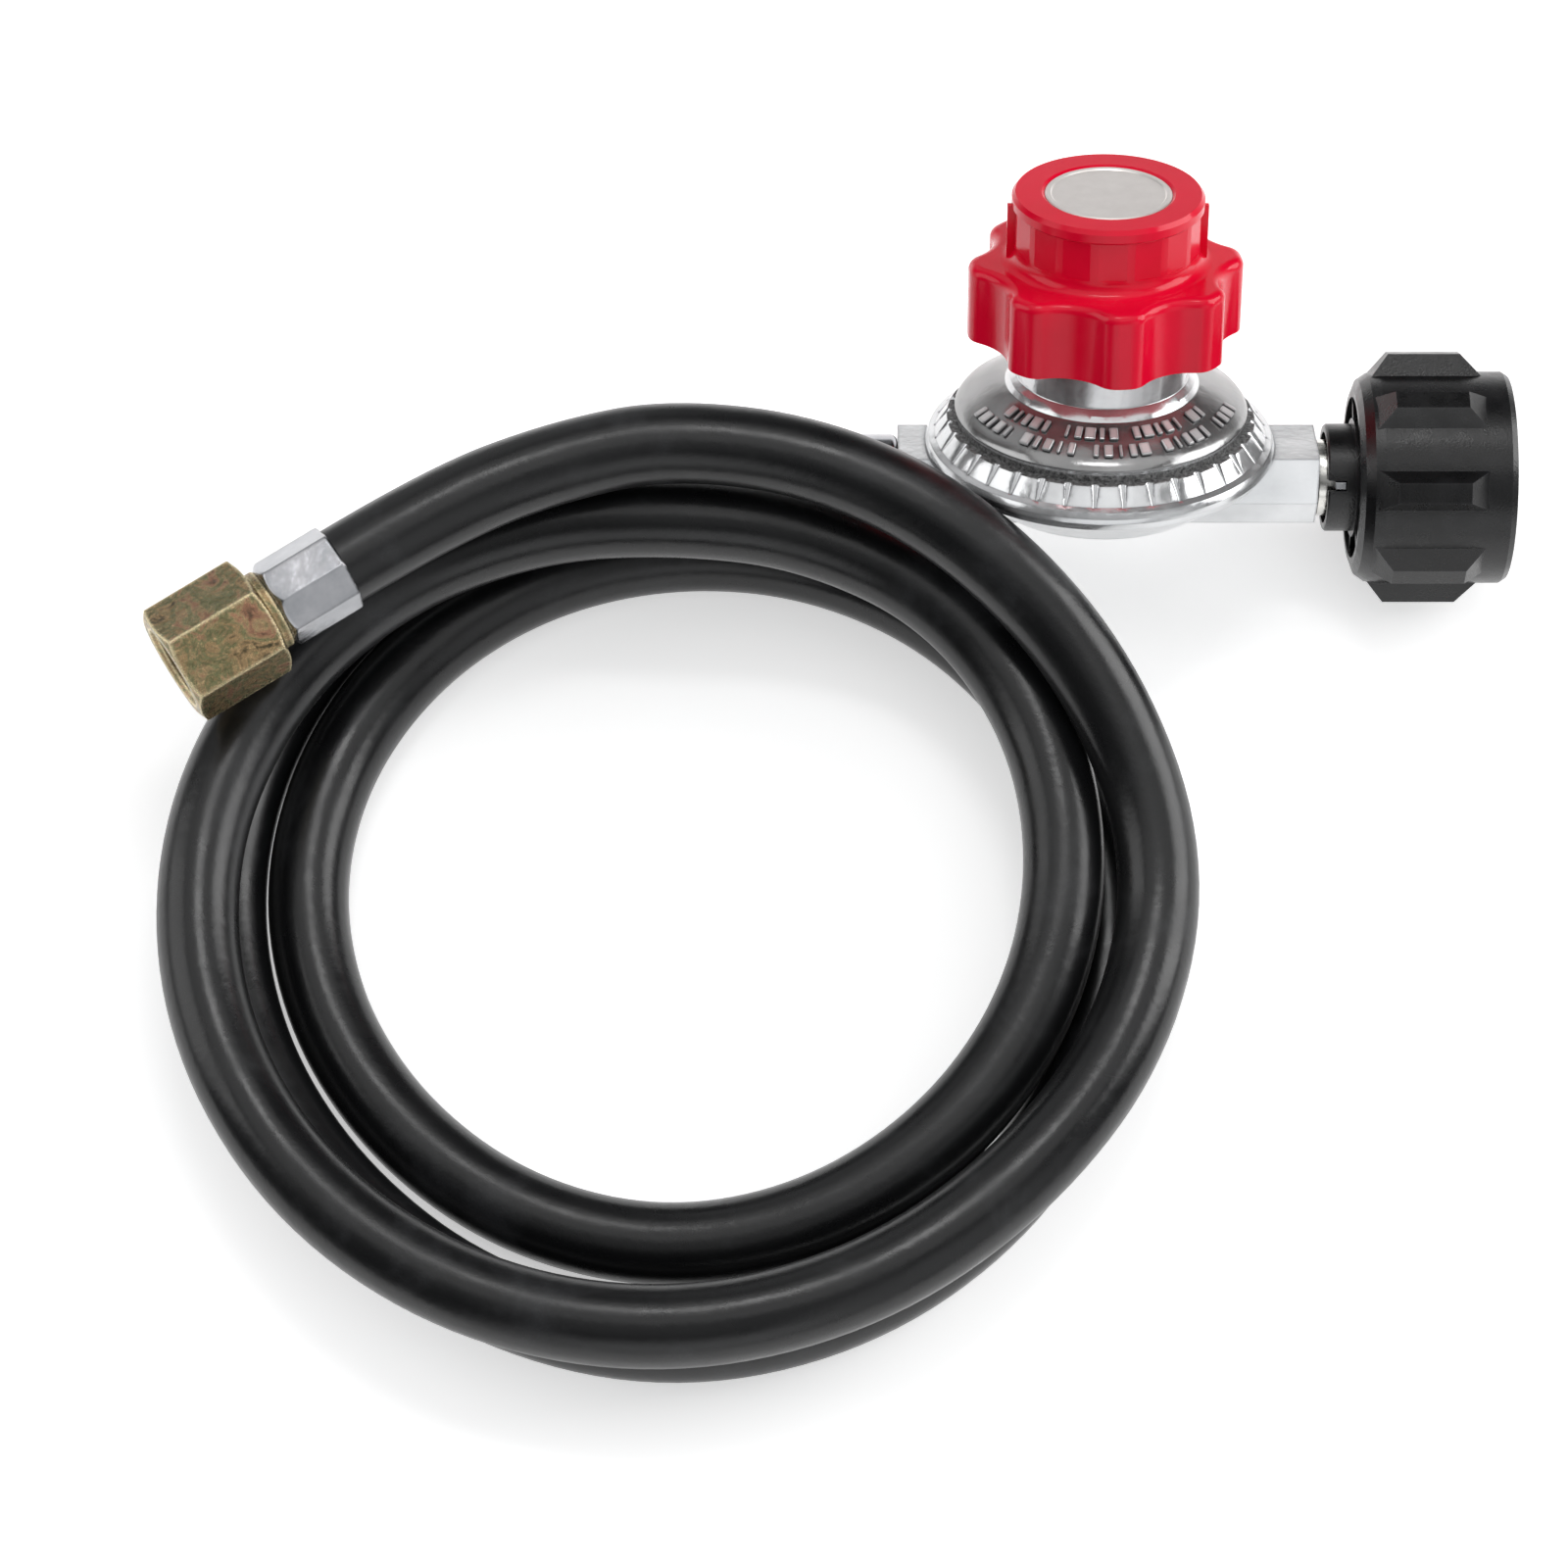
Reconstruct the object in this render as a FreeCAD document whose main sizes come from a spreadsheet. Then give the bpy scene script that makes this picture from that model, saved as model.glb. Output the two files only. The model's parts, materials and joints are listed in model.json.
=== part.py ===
# Low-pressure propane regulator with a hose to the burner.  Millimetres, +Z up, floor at Z = 0.
# The regulator leans back on its inlet axis, which runs along +X; the hose lies coiled beside it.
import FreeCAD
import Part
import Sketcher
import math
import os

V = FreeCAD.Vector
Rotation = FreeCAD.Rotation
Placement = FreeCAD.Placement

# Heights of the regulator stack are measured along the knob axis from the inlet axis.
# Stations of inlet, outlet and hand nut parts are measured along the inlet axis.
# Stations of the burner end parts are measured from the hose side face of the burner ferrule.
DIMS = {
    # posture
    "overcut": 1, "lean": 35, "axis_x": -9.4, "axis_y": -12.12, "axis_z": 23.57,
    # die-cast lower body
    "bowl_floor": -3, "bowl_foot_r": 18, "bowl_knee_r": 22, "bowl_knee_z": -1.6,
    "bowl_side_r": 26, "bowl_side_z": 1.4, "bowl_rim_r": 30.4, "bowl_rim_z": 4.7,
    "flange_under_r": 31.9, "flange_under_z": 5.6, "flange_r": 32.85, "flange_low": 7.2,
    "flange_high": 8.2, "flange_over_r": 32.3, "flange_over_z": 9.3,
    "crimp_low_r": 31.1, "crimp_low_z": 9.8, "crimp_r": 28.8, "crimp_top": 13.1,
    "crimp_clear": 14.5, "lip_r": 27.2, "seat_r": 28.2, "seat_z": 9.3,
    "chamber_r": 26.5, "chamber_step_z": 6.5, "chamber_knee_r": 23.5, "chamber_knee_z": 3.5,
    "chamber_foot_r": 18, "notch_count": 36, "notch_low_r": 0.4, "notch_high_r": 0.95,
    "notch_len": 4.6, "notch_out": 0.25,
    "boss_half_z": 7.5, "boss_waist_z": 2, "boss_wide": 7.15, "boss_narrow": 4.2,
    "boss_left": 38, "boss_right": 41,
    "channel_left": 26, "channel_right": 22, "channel_half": 4.5, "channel_low": 4,
    "channel_high": 4.2, "outlet_bore_r": 4, "nozzle_bore_r": 4, "inlet_bore_r": 6,
    "inlet_bore_from": 27, "lug_inner": 5, "lug_outer": 7.5, "lug_half": 2, "lug_top": 6.5,
    "lug_root": -0.5,
    # bonnet
    "gasket_top": 10.3, "bonnet_flange_top": 12.2, "seam_top": 14.5,
    "dome_rim_r": 27.5, "dome_rim_z": 15.2, "dome_edge_r": 26.6, "dome_edge_z": 16.3,
    "dome_mid_r": 22.6, "dome_mid_z": 18.6, "dome_top_r": 18.2, "dome_top_z": 20.5,
    "ring_r": 17.4, "ring_z": 21.6, "neck_r": 16.1, "neck_foot_z": 22.4,
    "neck_step_z": 34.4, "neck_tip_r": 13.4, "neck_tip_edge_r": 12.8, "neck_tip_edge_z": 41.4,
    "neck_top": 42, "screw_hole_r": 5.15, "chamber_roof": 38,
    "spring_bore_r": 11, "spring_bore_foot": 19, "cone_r": 15, "cone_z": 17,
    "vault_r": 24, "vault_z": 13.2, "vault_edge_r": 25.5, "vault_edge_z": 12.4,
    "vent_r": 2.4, "vent_y": 21.4, "vent_low": 16.2, "vent_thick": 0.6, "vent_from": 12.5,
    "vent_reach": 12,
    # diaphragm group
    "stem_r": 2, "stem_low": 1.8, "washer_r": 6, "washer_low": 8.3, "wave_in_r": 20,
    "wave_rise_r": 21, "wave_low_z": 10.4, "wave_r": 22.5, "wave_z": 11, "wave_fall_r": 24,
    "wave_out_r": 25, "wave_back_r": 25.4, "wave_high_z": 11.4, "wave_crest_z": 12,
    "wave_in_top_r": 19.6, "plate_r": 18.8, "plate_edge_r": 18.2, "plate_top": 11.3,
    "plate_edge_z": 10.9, "head_r": 4, "head_top": 12.5, "slot_half_y": 1.3, "slot_low": 2.8,
    "slot_high": 5.2,
    # lever and valve
    "pivot_x": 12, "pivot_z": 4, "hub_r": 2.2, "hub_half": 3.5, "pin_r": 1, "pin_hole_r": 1.05,
    "arm_half_y": 1, "arm_half_z": 0.6, "tip_r": 1, "foot_half": 0.7,
    "holder_left": 16, "holder_right": 19.5, "holder_half": 4.2, "holder_low": 3.7,
    "holder_top": 1.2, "holder_head": 5, "holder_head_top": 3.7, "holder_slot_half": 1.15,
    "holder_slot_low": 1.3, "seat_disc_r": 3, "seat_disc_from": 18.5, "seat_disc_to": 20.2,
    "nozzle_tip_x": 21, "nozzle_tip_r": 1.8, "nozzle_neck_r": 2.4, "nozzle_neck_x": 22.5,
    "nozzle_bore": 1,
    # adjuster and knob
    "spring_wire_r": 0.9, "spring_mean_r": 8.9, "spring_pitch": 4.2, "spring_from": 12.25,
    "spring_span": 16.8, "button_spigot_r": 7.6, "button_spigot_low": 28, "button_low": 30,
    "button_r": 10.5, "button_edge_z": 31.4, "button_cone_r": 5, "button_top": 33,
    "screw_r": 4.85, "screw_tip_r": 4, "screw_edge_z": 33.8, "screw_top": 52,
    "screw_core_low": 44, "core_r": 1.9, "fixing_low": 45, "fixing_seat": 54,
    "fixing_head_r": 4, "fixing_edge_r": 3.3, "fixing_edge_z": 56, "fixing_top": 56.7,
    "fixing_slot_w": 1, "fixing_slot_z": 55.5,
    "skirt_low": 31, "skirt_top": 45.6, "crest_r": 25.5, "scallop_r": 10.5, "scallop_at": 32.6,
    "lobes": 8, "first_crest": -85, "crest_round": 4, "skirt_round": 1.8,
    "hub_round": 2.4, "knob_hub_r": 17.2, "rim_low_z": 56, "rim_in_z": 56.5, "rim_r": 17.75, "rim_high_z": 58,
    "rim_edge_r": 17.1, "knob_top": 58.8, "recess_in_r": 12.3, "recess_r": 11.8,
    "recess_in_z": 58.5, "recess_z": 57.5, "cavity_r": 17, "cavity_step": 42.2,
    "cavity_tip_r": 14, "cavity_roof": 49.5, "cavity_open": 30, "sink_r": 4.6,
    "fin_reach": 18.5, "fin_in": 16, "fin_half": 0.6, "fin_sink": 0.2,
    "facets": 16, "facet_at": 17, "facet_low": 48.6, "facet_high": 56, "facet_deep": 2,
    "facet_wide": 8,
    "cap_r": 11.7, "cap_edge_r": 11.4, "cap_edge_z": 58.5, "cap_ring_r": 10.7,
    "cap_face_r": 10.4, "cap_face_z": 58.45, "cap_top": 58.7,
    # inlet nipple and hand nut
    "nipple_bore": 2.5, "ring_from": 41, "nipple_ring_r": 7.2, "ring_to": 44.6,
    "nipple_r": 5.9, "groove_r": 5.2, "groove_from": 44.9, "groove_to": 46.1,
    "shoulder_from": 50, "shoulder_r": 9.5, "shoulder_to": 53, "tube_r": 5.6,
    "nose_from": 66, "nose_r": 7.9, "seal_from": 68.6, "seal_groove_r": 6, "seal_to": 71.2,
    "nose_edge": 73.5, "nose_tip_r": 5.6, "nose_end": 76.5, "flow_r": 4.5, "flow_from": 60,
    "flow_neck": 58, "seal_mean_r": 7.15, "seal_wire_r": 1.1,
    "clip_from": 45.1, "clip_to": 45.9, "clip_in_r": 5.5, "clip_r": 8.5,
    "tongue_reach": 10, "tongue_w": 1.3, "tongue_from": 43.9,
    "bushing_r": 9, "bushing_edge_r": 7.5, "bushing_edge": 55.5, "bushing_to": 57.5,
    "nut_from": 42.6, "clip_pocket_r": 8.6, "collar_edge_r": 9.85, "collar_edge": 42.95,
    "collar_r": 10.15, "nut_face": 47.9, "moat_in_r": 11.2, "moat_out_r": 15.2,
    "moat_floor": 50.2, "face_r": 16.4, "nut_round_a_r": 18.5, "nut_round_a": 48.7,
    "nut_round_b_r": 19.7, "nut_round_b": 50.4, "nut_r": 20, "nut_round_c": 52.3,
    "nut_edge": 75.7, "nut_edge_r": 19.3, "nut_to": 76.8, "mouth_r": 17.6, "mouth_in": 75.4,
    "thread_r": 16, "thread_root_r": 17.2, "thread_from": 59.5, "pocket_r": 10,
    "pocket_from": 49.8, "nut_bore_r": 6.2, "pocket_clip_to": 46.1,
    "turn_a": 61.8, "turn_b": 64.2, "turn_c": 66.6, "turn_d": 69, "turn_e": 71.4, "turn_f": 73.8,
    "rib_from": 50.5, "rib_to": 72.1, "rib_top_from": 54.1,
    "rib_top_to": 67.7, "rib_root_r": 19, "rib_tip_r": 23.6, "rib_half": 4,
    "rib_top_half": 1.9, "ribs": 8, "first_rib": 25, "webs": 8, "web_half": 0.7,
    "web_sink": 0.5, "web_drop": 0.6, "web_gap": 0.2,
    "slot_w": 2, "slot_at": 252, "slot_to": 46,
    "poppet_tip": 61.5, "poppet_tip_r": 1.9, "poppet_from": 64.2, "poppet_r": 4.05,
    "poppet_to": 66.4, "poppet_tail_r": 1.5, "poppet_tail": 70,
    "check_wire_r": 0.3, "check_mean_r": 3, "check_pitch": 1.2, "check_from": 60.35,
    "check_span": 3.5, "cage_from": 66.7, "cage_r": 3, "cage_to": 75.5,
    # outlet barb and regulator end ferrule, distances to the left of the knob axis
    "barb_bore": 2.2, "barb_root": 27, "barb_neck": 38.1, "barb_r": 3.4, "barb_tip_r": 3.9,
    "barb_a": 40, "barb_b": 42.5, "barb_c": 45, "barb_d": 47.5, "barb_e": 50, "barb_end": 57,
    "cuff_edge_r": 7.4, "cuff_edge": 39, "cuff_r": 8.2, "cuff_to": 58, "cuff_lip": 57.4,
    "cuff_in_r": 7.2, "cuff_floor": 40, "cuff_lip_r": 7.9,
    # burner end
    "ferrule_r": 8.5, "ferrule_len": 14.5, "ferrule_in_r": 7.2, "ferrule_floor": 12,
    "ferrule_hole_r": 3.4, "ferrule_sides": 8, "ferrule_turn": -3.9,
    "ferrule_blank_r": 9, "ferrule_mouth_r": 8.2, "ferrule_mouth": 0.5, "ferrule_shoulder": 12.2,
    "ferrule_round_r": 8.2, "ferrule_round": 13.6, "ferrule_end_r": 7.2,
    "stem_bore": 2.2, "stem_start": 1, "stem_shank_r": 3.4, "gold_r": 7.7, "gold_to": 16.3,
    "stem_neck_r": 5, "stem_neck_to": 21.1, "stem_head_r": 6.6, "stem_cone": 24,
    "stem_end": 27.2, "flare_from": 16.6, "flare_to": 35.8, "flare_corner_r": 11.7,
    "flare_turn": -14, "flare_hole_r": 5.3, "flare_web": 20.9, "flare_bore_r": 7.2,
    "flare_relief_r": 7.7, "flare_thread": 27.5, "flare_mouth_r": 8.1, "flare_mouth": 34.9,
    "flare_blank_r": 14, "flare_face_r": 9.9, "flare_bevel_low": 18.4, "flare_bevel_high": 34,
    # hose
    "hose_r": 7.5, "coil_cover": 0.3, "lead_from": 22.1, "lead_to": 8,
    "coil_y": 76.7, "coil_x": 80.1, "sleeve_r": 9.3, "sleeve_to": 54,
    # room left in the coil for the regulator
    "space_floor": -3.8, "space_foot_r": 18.4, "space_side_r": 26.8, "space_side_z": 0.6,
    "space_r": 33.6, "space_low": 7, "space_high": 9, "space_dome_r": 28.6,
    "space_dome_z": 14.8, "space_knob_r": 26.3, "space_knob_z": 22, "space_top": 60,
    "fitting_space_r": 12.9,
}

# Coiled hose, seen from above, counter-clockwise from +Y: (radius, height) at every 45 degrees.
STATIONS = [
    (79, 26), (82, 9.5), (84, 7.5), (88, 7.5), (90.5, 7.5), (86, 7.5), (80.5, 7.5), (74.5, 7.5),
    (68.5, 7.5), (67, 7.5), (67, 7.5), (66.5, 7.5), (69.5, 8), (71.5, 14.5), (72, 20.5), (71, 25),
    (63, 32.5), (75.5, 24.5), (86, 23), (92.5, 22.5), (92, 23), (88.5, 23.5), (89.5, 22),
    (76, 44.5), (71.5, 46.5), (75, 45)]
# Free end of the hose above the coil, measured from the coil centre on the floor.
TAIL = [(0, 71.5, 46.5), (-20.8, 68.7, 45.4), (-42.1, 60, 44.7), (-60.8, 47.6, 43.8)]
# Direction from the burner end of the hose towards the upper edge of the fitting's flats.
FLATS_UP = (-0.542, 0.768, 0.342)

STATION_STEP = 45
STATIONS_PER_TURN = 8
TURNS = 3
SECTIONS = 16
RUN_SHARE = 0.45

doc = FreeCAD.newDocument("propane_regulator_hose")
sheet = doc.addObject("Spreadsheet::Sheet", "Dims")
for row, (name, size) in enumerate(DIMS.items(), start=1):
    sheet.set("A%d" % row, name)
    sheet.set("B%d" % row, str(size))
    sheet.setAlias("B%d" % row, name)
doc.recompute()


def value(name):
    """Number behind an alias; a leading minus sign negates it."""
    if name == "0":
        return 0.0
    if name.startswith("-"):
        return -float(sheet.get(name[1:]))
    return float(sheet.get(name))


def cell(name):
    """Expression that reads an alias; a leading minus sign negates it."""
    if name.startswith("-"):
        return "-Dims." + name[1:]
    return "Dims." + name


def pin_coordinate(sketch, line, kind, name, axis):
    """Tie the start of a line to a cell, or to an axis where the coordinate is zero."""
    if value(name) == 0:
        sketch.addConstraint(Sketcher.Constraint("PointOnObject", line, 1, axis))
        return
    index = sketch.addConstraint(Sketcher.Constraint(kind, -1, 1, line, 1, value(name)))
    sketch.setExpression("Constraints[%d]" % index, cell(name))


def draw_outline(sketch, outline):
    """Closed polygon through points given as pairs of aliases."""
    points = [V(value(across), value(up), 0) for across, up in outline]
    count = len(points)
    for i in range(count):
        sketch.addGeometry(Part.LineSegment(points[i], points[(i + 1) % count]), False)
    for i in range(count):
        sketch.addConstraint(Sketcher.Constraint("Coincident", i, 2, (i + 1) % count, 1))
    for i, (across, up) in enumerate(outline):
        pin_coordinate(sketch, i, "DistanceX", across, -2)
        pin_coordinate(sketch, i, "DistanceY", up, -1)


def new_profile(label, role, outline):
    """Body with an outline sketched on one of its own origin planes."""
    body = doc.addObject("PartDesign::Body", label)
    plane = [f for f in body.Origin.OriginFeatures if f.Role == role][0]
    sketch = body.newObject("Sketcher::SketchObject", label + "_outline")
    sketch.AttachmentSupport = (plane, [""])
    sketch.MapMode = "FlatFace"
    draw_outline(sketch, outline)
    return body, sketch


def turned(label, outline):
    """Body of revolution about its own Z."""
    body, sketch = new_profile(label, "XZ_Plane", outline)
    turn = body.newObject("PartDesign::Revolution", label + "_turn")
    turn.Profile = sketch
    turn.ReferenceAxis = (sketch, ["V_Axis"])
    turn.Angle = 360
    body.Tip = turn
    return body


def prism(label, outline, length):
    """Body of constant section along its own Z; length is an expression."""
    body, sketch = new_profile(label, "XY_Plane", outline)
    pad = body.newObject("PartDesign::Pad", label + "_pad")
    pad.Profile = sketch
    pad.setExpression("Length", length)
    body.Tip = pad
    return body


def primitive(kind, label, sizes, at=("0", "0", "0"), turn=None):
    """Part primitive whose sizes and position are expressions."""
    item = doc.addObject(kind, label)
    for prop, rule in sizes.items():
        item.setExpression(prop, rule)
    item.Placement = Placement(V(0, 0, 0), turn or Rotation())
    for axis, rule in zip("xyz", at):
        if rule != "0":
            item.setExpression("Placement.Base." + axis, rule)
    return item


def cylinder(label, radius, length, at=("0", "0", "0"), turn=None):
    return primitive("Part::Cylinder", label, {"Radius": radius, "Height": length}, at, turn)


def block(label, sizes, at, turn=None):
    return primitive("Part::Box", label, dict(zip(("Length", "Width", "Height"), sizes)), at, turn)


def around(label, make, count, first):
    """Equally spaced copies about own Z; make(index, angle) returns one of them."""
    step = 360.0 / count
    return fused(label, [make(i, first + i * step) for i in range(count)])


def fused(label, items):
    joined = doc.addObject("Part::MultiFuse", label)
    joined.Shapes = items
    return joined


def cut(label, base, tools):
    tool = tools[0] if len(tools) == 1 else fused(label + "_tools", tools)
    result = doc.addObject("Part::Cut", label)
    result.Base = base
    result.Tool = tool
    return result


def common(label, items):
    result = doc.addObject("Part::MultiCommon", label)
    result.Shapes = items
    return result


def rounded(label, base, radius, wanted):
    """Fillet on every edge of the base that the test accepts."""
    doc.recompute()
    edges = [i for i, edge in enumerate(base.Shape.Edges, start=1) if wanted(edge)]
    result = doc.addObject("Part::Fillet", label)
    result.Base = base
    result.Edges = [(i, value(radius), value(radius)) for i in edges]
    return result


NODES = {}


def node(label, item, placement):
    """Register a finished sub-part under its label."""
    item.Label = label
    item.Placement = placement
    NODES[label] = item
    return item


ALONG_X = Rotation(V(0, 1, 0), 90)
ALONG_LEFT = Rotation(V(0, 1, 0), -90)
ALONG_Y = Rotation(V(1, 0, 0), -90)
UPRIGHT = Placement(
    V(value("axis_x"), value("axis_y"), value("axis_z")), Rotation(V(1, 0, 0), -value("lean")))
INLET = UPRIGHT.multiply(Placement(V(0, 0, 0), ALONG_X))
OUTLET = UPRIGHT.multiply(Placement(V(0, 0, 0), ALONG_LEFT))

# ---------------------------------------------------------------- lower body
body_blank = turned("body_blank", [
    ("0", "bowl_floor"), ("bowl_foot_r", "bowl_floor"), ("bowl_knee_r", "bowl_knee_z"),
    ("bowl_side_r", "bowl_side_z"), ("bowl_rim_r", "bowl_rim_z"),
    ("flange_under_r", "flange_under_z"), ("flange_r", "flange_low"),
    ("flange_r", "flange_high"), ("flange_over_r", "flange_over_z"),
    ("crimp_low_r", "crimp_low_z"), ("crimp_r", "crimp_top"), ("0", "crimp_top")])
boss = prism("boss_bar", [
    ("-boss_half_z", "-boss_wide"), ("boss_waist_z", "-boss_wide"),
    ("boss_half_z", "-boss_narrow"), ("boss_half_z", "boss_narrow"),
    ("boss_waist_z", "boss_wide"), ("-boss_half_z", "boss_wide")],
    "Dims.boss_left + Dims.boss_right")
boss.Placement = Placement(V(-value("boss_left"), 0, 0), ALONG_X)
chamber = turned("chamber_space", [
    ("0", "0"), ("chamber_foot_r", "0"), ("chamber_knee_r", "chamber_knee_z"),
    ("chamber_r", "chamber_step_z"), ("chamber_r", "seat_z"), ("seat_r", "seat_z"),
    ("seat_r", "bonnet_flange_top"), ("lip_r", "bonnet_flange_top"), ("lip_r", "crimp_clear"),
    ("0", "crimp_clear")])
channel = block(
    "valve_channel",
    ("Dims.channel_left + Dims.channel_right", "2 * Dims.channel_half",
     "Dims.channel_low + Dims.channel_high"),
    ("-Dims.channel_left", "-Dims.channel_half", "-Dims.channel_low"))
outlet_bore = cylinder(
    "outlet_bore", "Dims.outlet_bore_r", "Dims.boss_left", ("-Dims.boss_left", "0", "0"), ALONG_X)
nozzle_bore = cylinder(
    "nozzle_bore", "Dims.nozzle_bore_r",
    "Dims.inlet_bore_from - Dims.channel_right + Dims.overcut",
    ("Dims.channel_right - Dims.overcut", "0", "0"), ALONG_X)
inlet_bore = cylinder(
    "inlet_bore", "Dims.inlet_bore_r",
    "Dims.boss_right - Dims.inlet_bore_from + Dims.overcut",
    ("Dims.inlet_bore_from", "0", "0"), ALONG_X)


def crimp_notch(index, angle):
    """Tapered groove that follows the bevel of the staked rim."""
    rise = value("crimp_top") - value("crimp_low_z")
    run = value("crimp_low_r") - value("crimp_r")
    slope = math.degrees(math.atan2(run, rise))
    turn = Rotation(V(0, 0, 1), angle).multiply(Rotation(V(0, 1, 0), -slope))
    notch = primitive("Part::Cone", "notch_%02d" % index, {
        "Radius1": "Dims.notch_low_r", "Radius2": "Dims.notch_high_r",
        "Height": "Dims.notch_len"}, turn=turn)
    reach = "(Dims.crimp_low_r + Dims.notch_out)"
    notch.setExpression("Placement.Base.x", "%s * cos(%s deg)" % (reach, angle))
    notch.setExpression("Placement.Base.y", "%s * sin(%s deg)" % (reach, angle))
    notch.setExpression("Placement.Base.z", "Dims.crimp_low_z")
    return notch


notches = around("crimp_notches", crimp_notch, int(value("notch_count")), 5)
hollow_body = cut(
    "hollow_body", fused("body_and_boss", [body_blank, boss]),
    [chamber, channel, outlet_bore, nozzle_bore, inlet_bore, notches])
lugs = [
    block("lug_%s" % side,
          ("2 * Dims.lug_half", "Dims.lug_outer - Dims.lug_inner", "Dims.lug_top - Dims.lug_root"),
          ("-Dims.pivot_x - Dims.lug_half", at, "Dims.lug_root"))
    for side, at in (("back", "Dims.lug_inner"), ("front", "-Dims.lug_outer"))]
lug_bore = cylinder(
    "lug_bore", "Dims.pin_r", "2 * Dims.lug_outer",
    ("-Dims.pivot_x", "-Dims.lug_outer", "Dims.pivot_z"), ALONG_Y)
body = cut("body_finished", fused("body_with_lugs", [hollow_body] + lugs), [lug_bore])
node("regulator_body", body, UPRIGHT)

# ---------------------------------------------------------------- bonnet
bonnet_blank = turned("bonnet_blank", [
    ("vault_edge_r", "gasket_top"), ("seat_r", "gasket_top"), ("seat_r", "bonnet_flange_top"),
    ("lip_r", "bonnet_flange_top"), ("lip_r", "seam_top"), ("dome_rim_r", "dome_rim_z"),
    ("dome_edge_r", "dome_edge_z"), ("dome_mid_r", "dome_mid_z"), ("dome_top_r", "dome_top_z"),
    ("ring_r", "ring_z"), ("neck_r", "neck_foot_z"), ("neck_r", "neck_step_z"),
    ("neck_tip_r", "neck_step_z"), ("neck_tip_r", "neck_tip_edge_z"),
    ("neck_tip_edge_r", "neck_top"), ("screw_hole_r", "neck_top"),
    ("screw_hole_r", "chamber_roof"), ("spring_bore_r", "chamber_roof"),
    ("spring_bore_r", "spring_bore_foot"), ("cone_r", "cone_z"), ("vault_r", "vault_z"),
    ("vault_edge_r", "vault_edge_z")])
vent_hole = cylinder(
    "vent_hole", "Dims.vent_r", "Dims.vent_reach", ("0", "Dims.vent_y", "Dims.vent_from"))
node("bonnet", cut("bonnet_finished", bonnet_blank, [vent_hole]), UPRIGHT)
node("vent_screen", cylinder("screen_disc", "Dims.vent_r", "Dims.vent_thick"),
     UPRIGHT.multiply(Placement(V(0, value("vent_y"), value("vent_low")), Rotation())))

# ---------------------------------------------------------------- diaphragm group
node("diaphragm", turned("diaphragm_sheet", [
    ("stem_r", "seat_z"), ("wave_in_r", "seat_z"), ("wave_rise_r", "wave_low_z"),
    ("wave_r", "wave_z"), ("wave_fall_r", "wave_low_z"), ("wave_out_r", "seat_z"),
    ("seat_r", "seat_z"), ("seat_r", "gasket_top"), ("wave_back_r", "gasket_top"),
    ("wave_fall_r", "wave_high_z"), ("wave_r", "wave_crest_z"), ("wave_rise_r", "wave_high_z"),
    ("wave_in_top_r", "gasket_top"), ("stem_r", "gasket_top")]), UPRIGHT)
node("diaphragm_plate", turned("plate_disc", [
    ("stem_r", "gasket_top"), ("plate_edge_r", "gasket_top"), ("plate_r", "plate_edge_z"),
    ("plate_r", "plate_top"), ("stem_r", "plate_top")]), UPRIGHT)
stem_blank = turned("stem_blank", [
    ("0", "stem_low"), ("stem_r", "stem_low"), ("stem_r", "washer_low"),
    ("washer_r", "washer_low"), ("washer_r", "seat_z"), ("stem_r", "seat_z"),
    ("stem_r", "plate_top"), ("head_r", "plate_top"), ("head_r", "head_top"),
    ("0", "head_top")])
stem_slot = block(
    "stem_slot", ("4 * Dims.stem_r", "2 * Dims.slot_half_y", "Dims.slot_high - Dims.slot_low"),
    ("-2 * Dims.stem_r", "-Dims.slot_half_y", "Dims.slot_low"))
node("diaphragm_stem", cut("stem_finished", stem_blank, [stem_slot]), UPRIGHT)

# ---------------------------------------------------------------- lever and valve
lever_hub = cylinder(
    "lever_hub", "Dims.hub_r", "2 * Dims.hub_half",
    ("-Dims.pivot_x", "-Dims.hub_half", "Dims.pivot_z"), ALONG_Y)
lever_arm = block(
    "lever_arm", ("Dims.pivot_x", "2 * Dims.arm_half_y", "2 * Dims.arm_half_z"),
    ("-Dims.pivot_x", "-Dims.arm_half_y", "Dims.pivot_z - Dims.arm_half_z"))
lever_tip = cylinder(
    "lever_tip", "Dims.tip_r", "2 * Dims.arm_half_y",
    ("0", "-Dims.arm_half_y", "Dims.pivot_z"), ALONG_Y)
lever_foot = block(
    "lever_foot", ("2 * Dims.foot_half", "2 * Dims.arm_half_y", "Dims.pivot_z"),
    ("-Dims.pivot_x - Dims.foot_half", "-Dims.arm_half_y", "0"))
lever_toe = cylinder(
    "lever_toe", "Dims.tip_r", "2 * Dims.arm_half_y",
    ("-Dims.pivot_x", "-Dims.arm_half_y", "0"), ALONG_Y)
lever_bore = cylinder(
    "lever_bore", "Dims.pin_hole_r", "4 * Dims.hub_half",
    ("-Dims.pivot_x", "-2 * Dims.hub_half", "Dims.pivot_z"), ALONG_Y)
lever_blank = fused("lever_blank", [lever_hub, lever_arm, lever_tip, lever_foot, lever_toe])
node("lever", cut("lever_finished", lever_blank, [lever_bore]), UPRIGHT)
node("lever_pin", cylinder("pivot_pin", "Dims.pin_r", "2 * Dims.lug_outer"),
     UPRIGHT.multiply(Placement(
         V(-value("pivot_x"), -value("lug_outer"), value("pivot_z")), ALONG_Y)))
holder_bar = block(
    "holder_bar",
    ("Dims.holder_left + Dims.holder_right", "2 * Dims.holder_half",
     "Dims.holder_low + Dims.holder_top"),
    ("-Dims.holder_left", "-Dims.holder_half", "-Dims.holder_low"))
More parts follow.
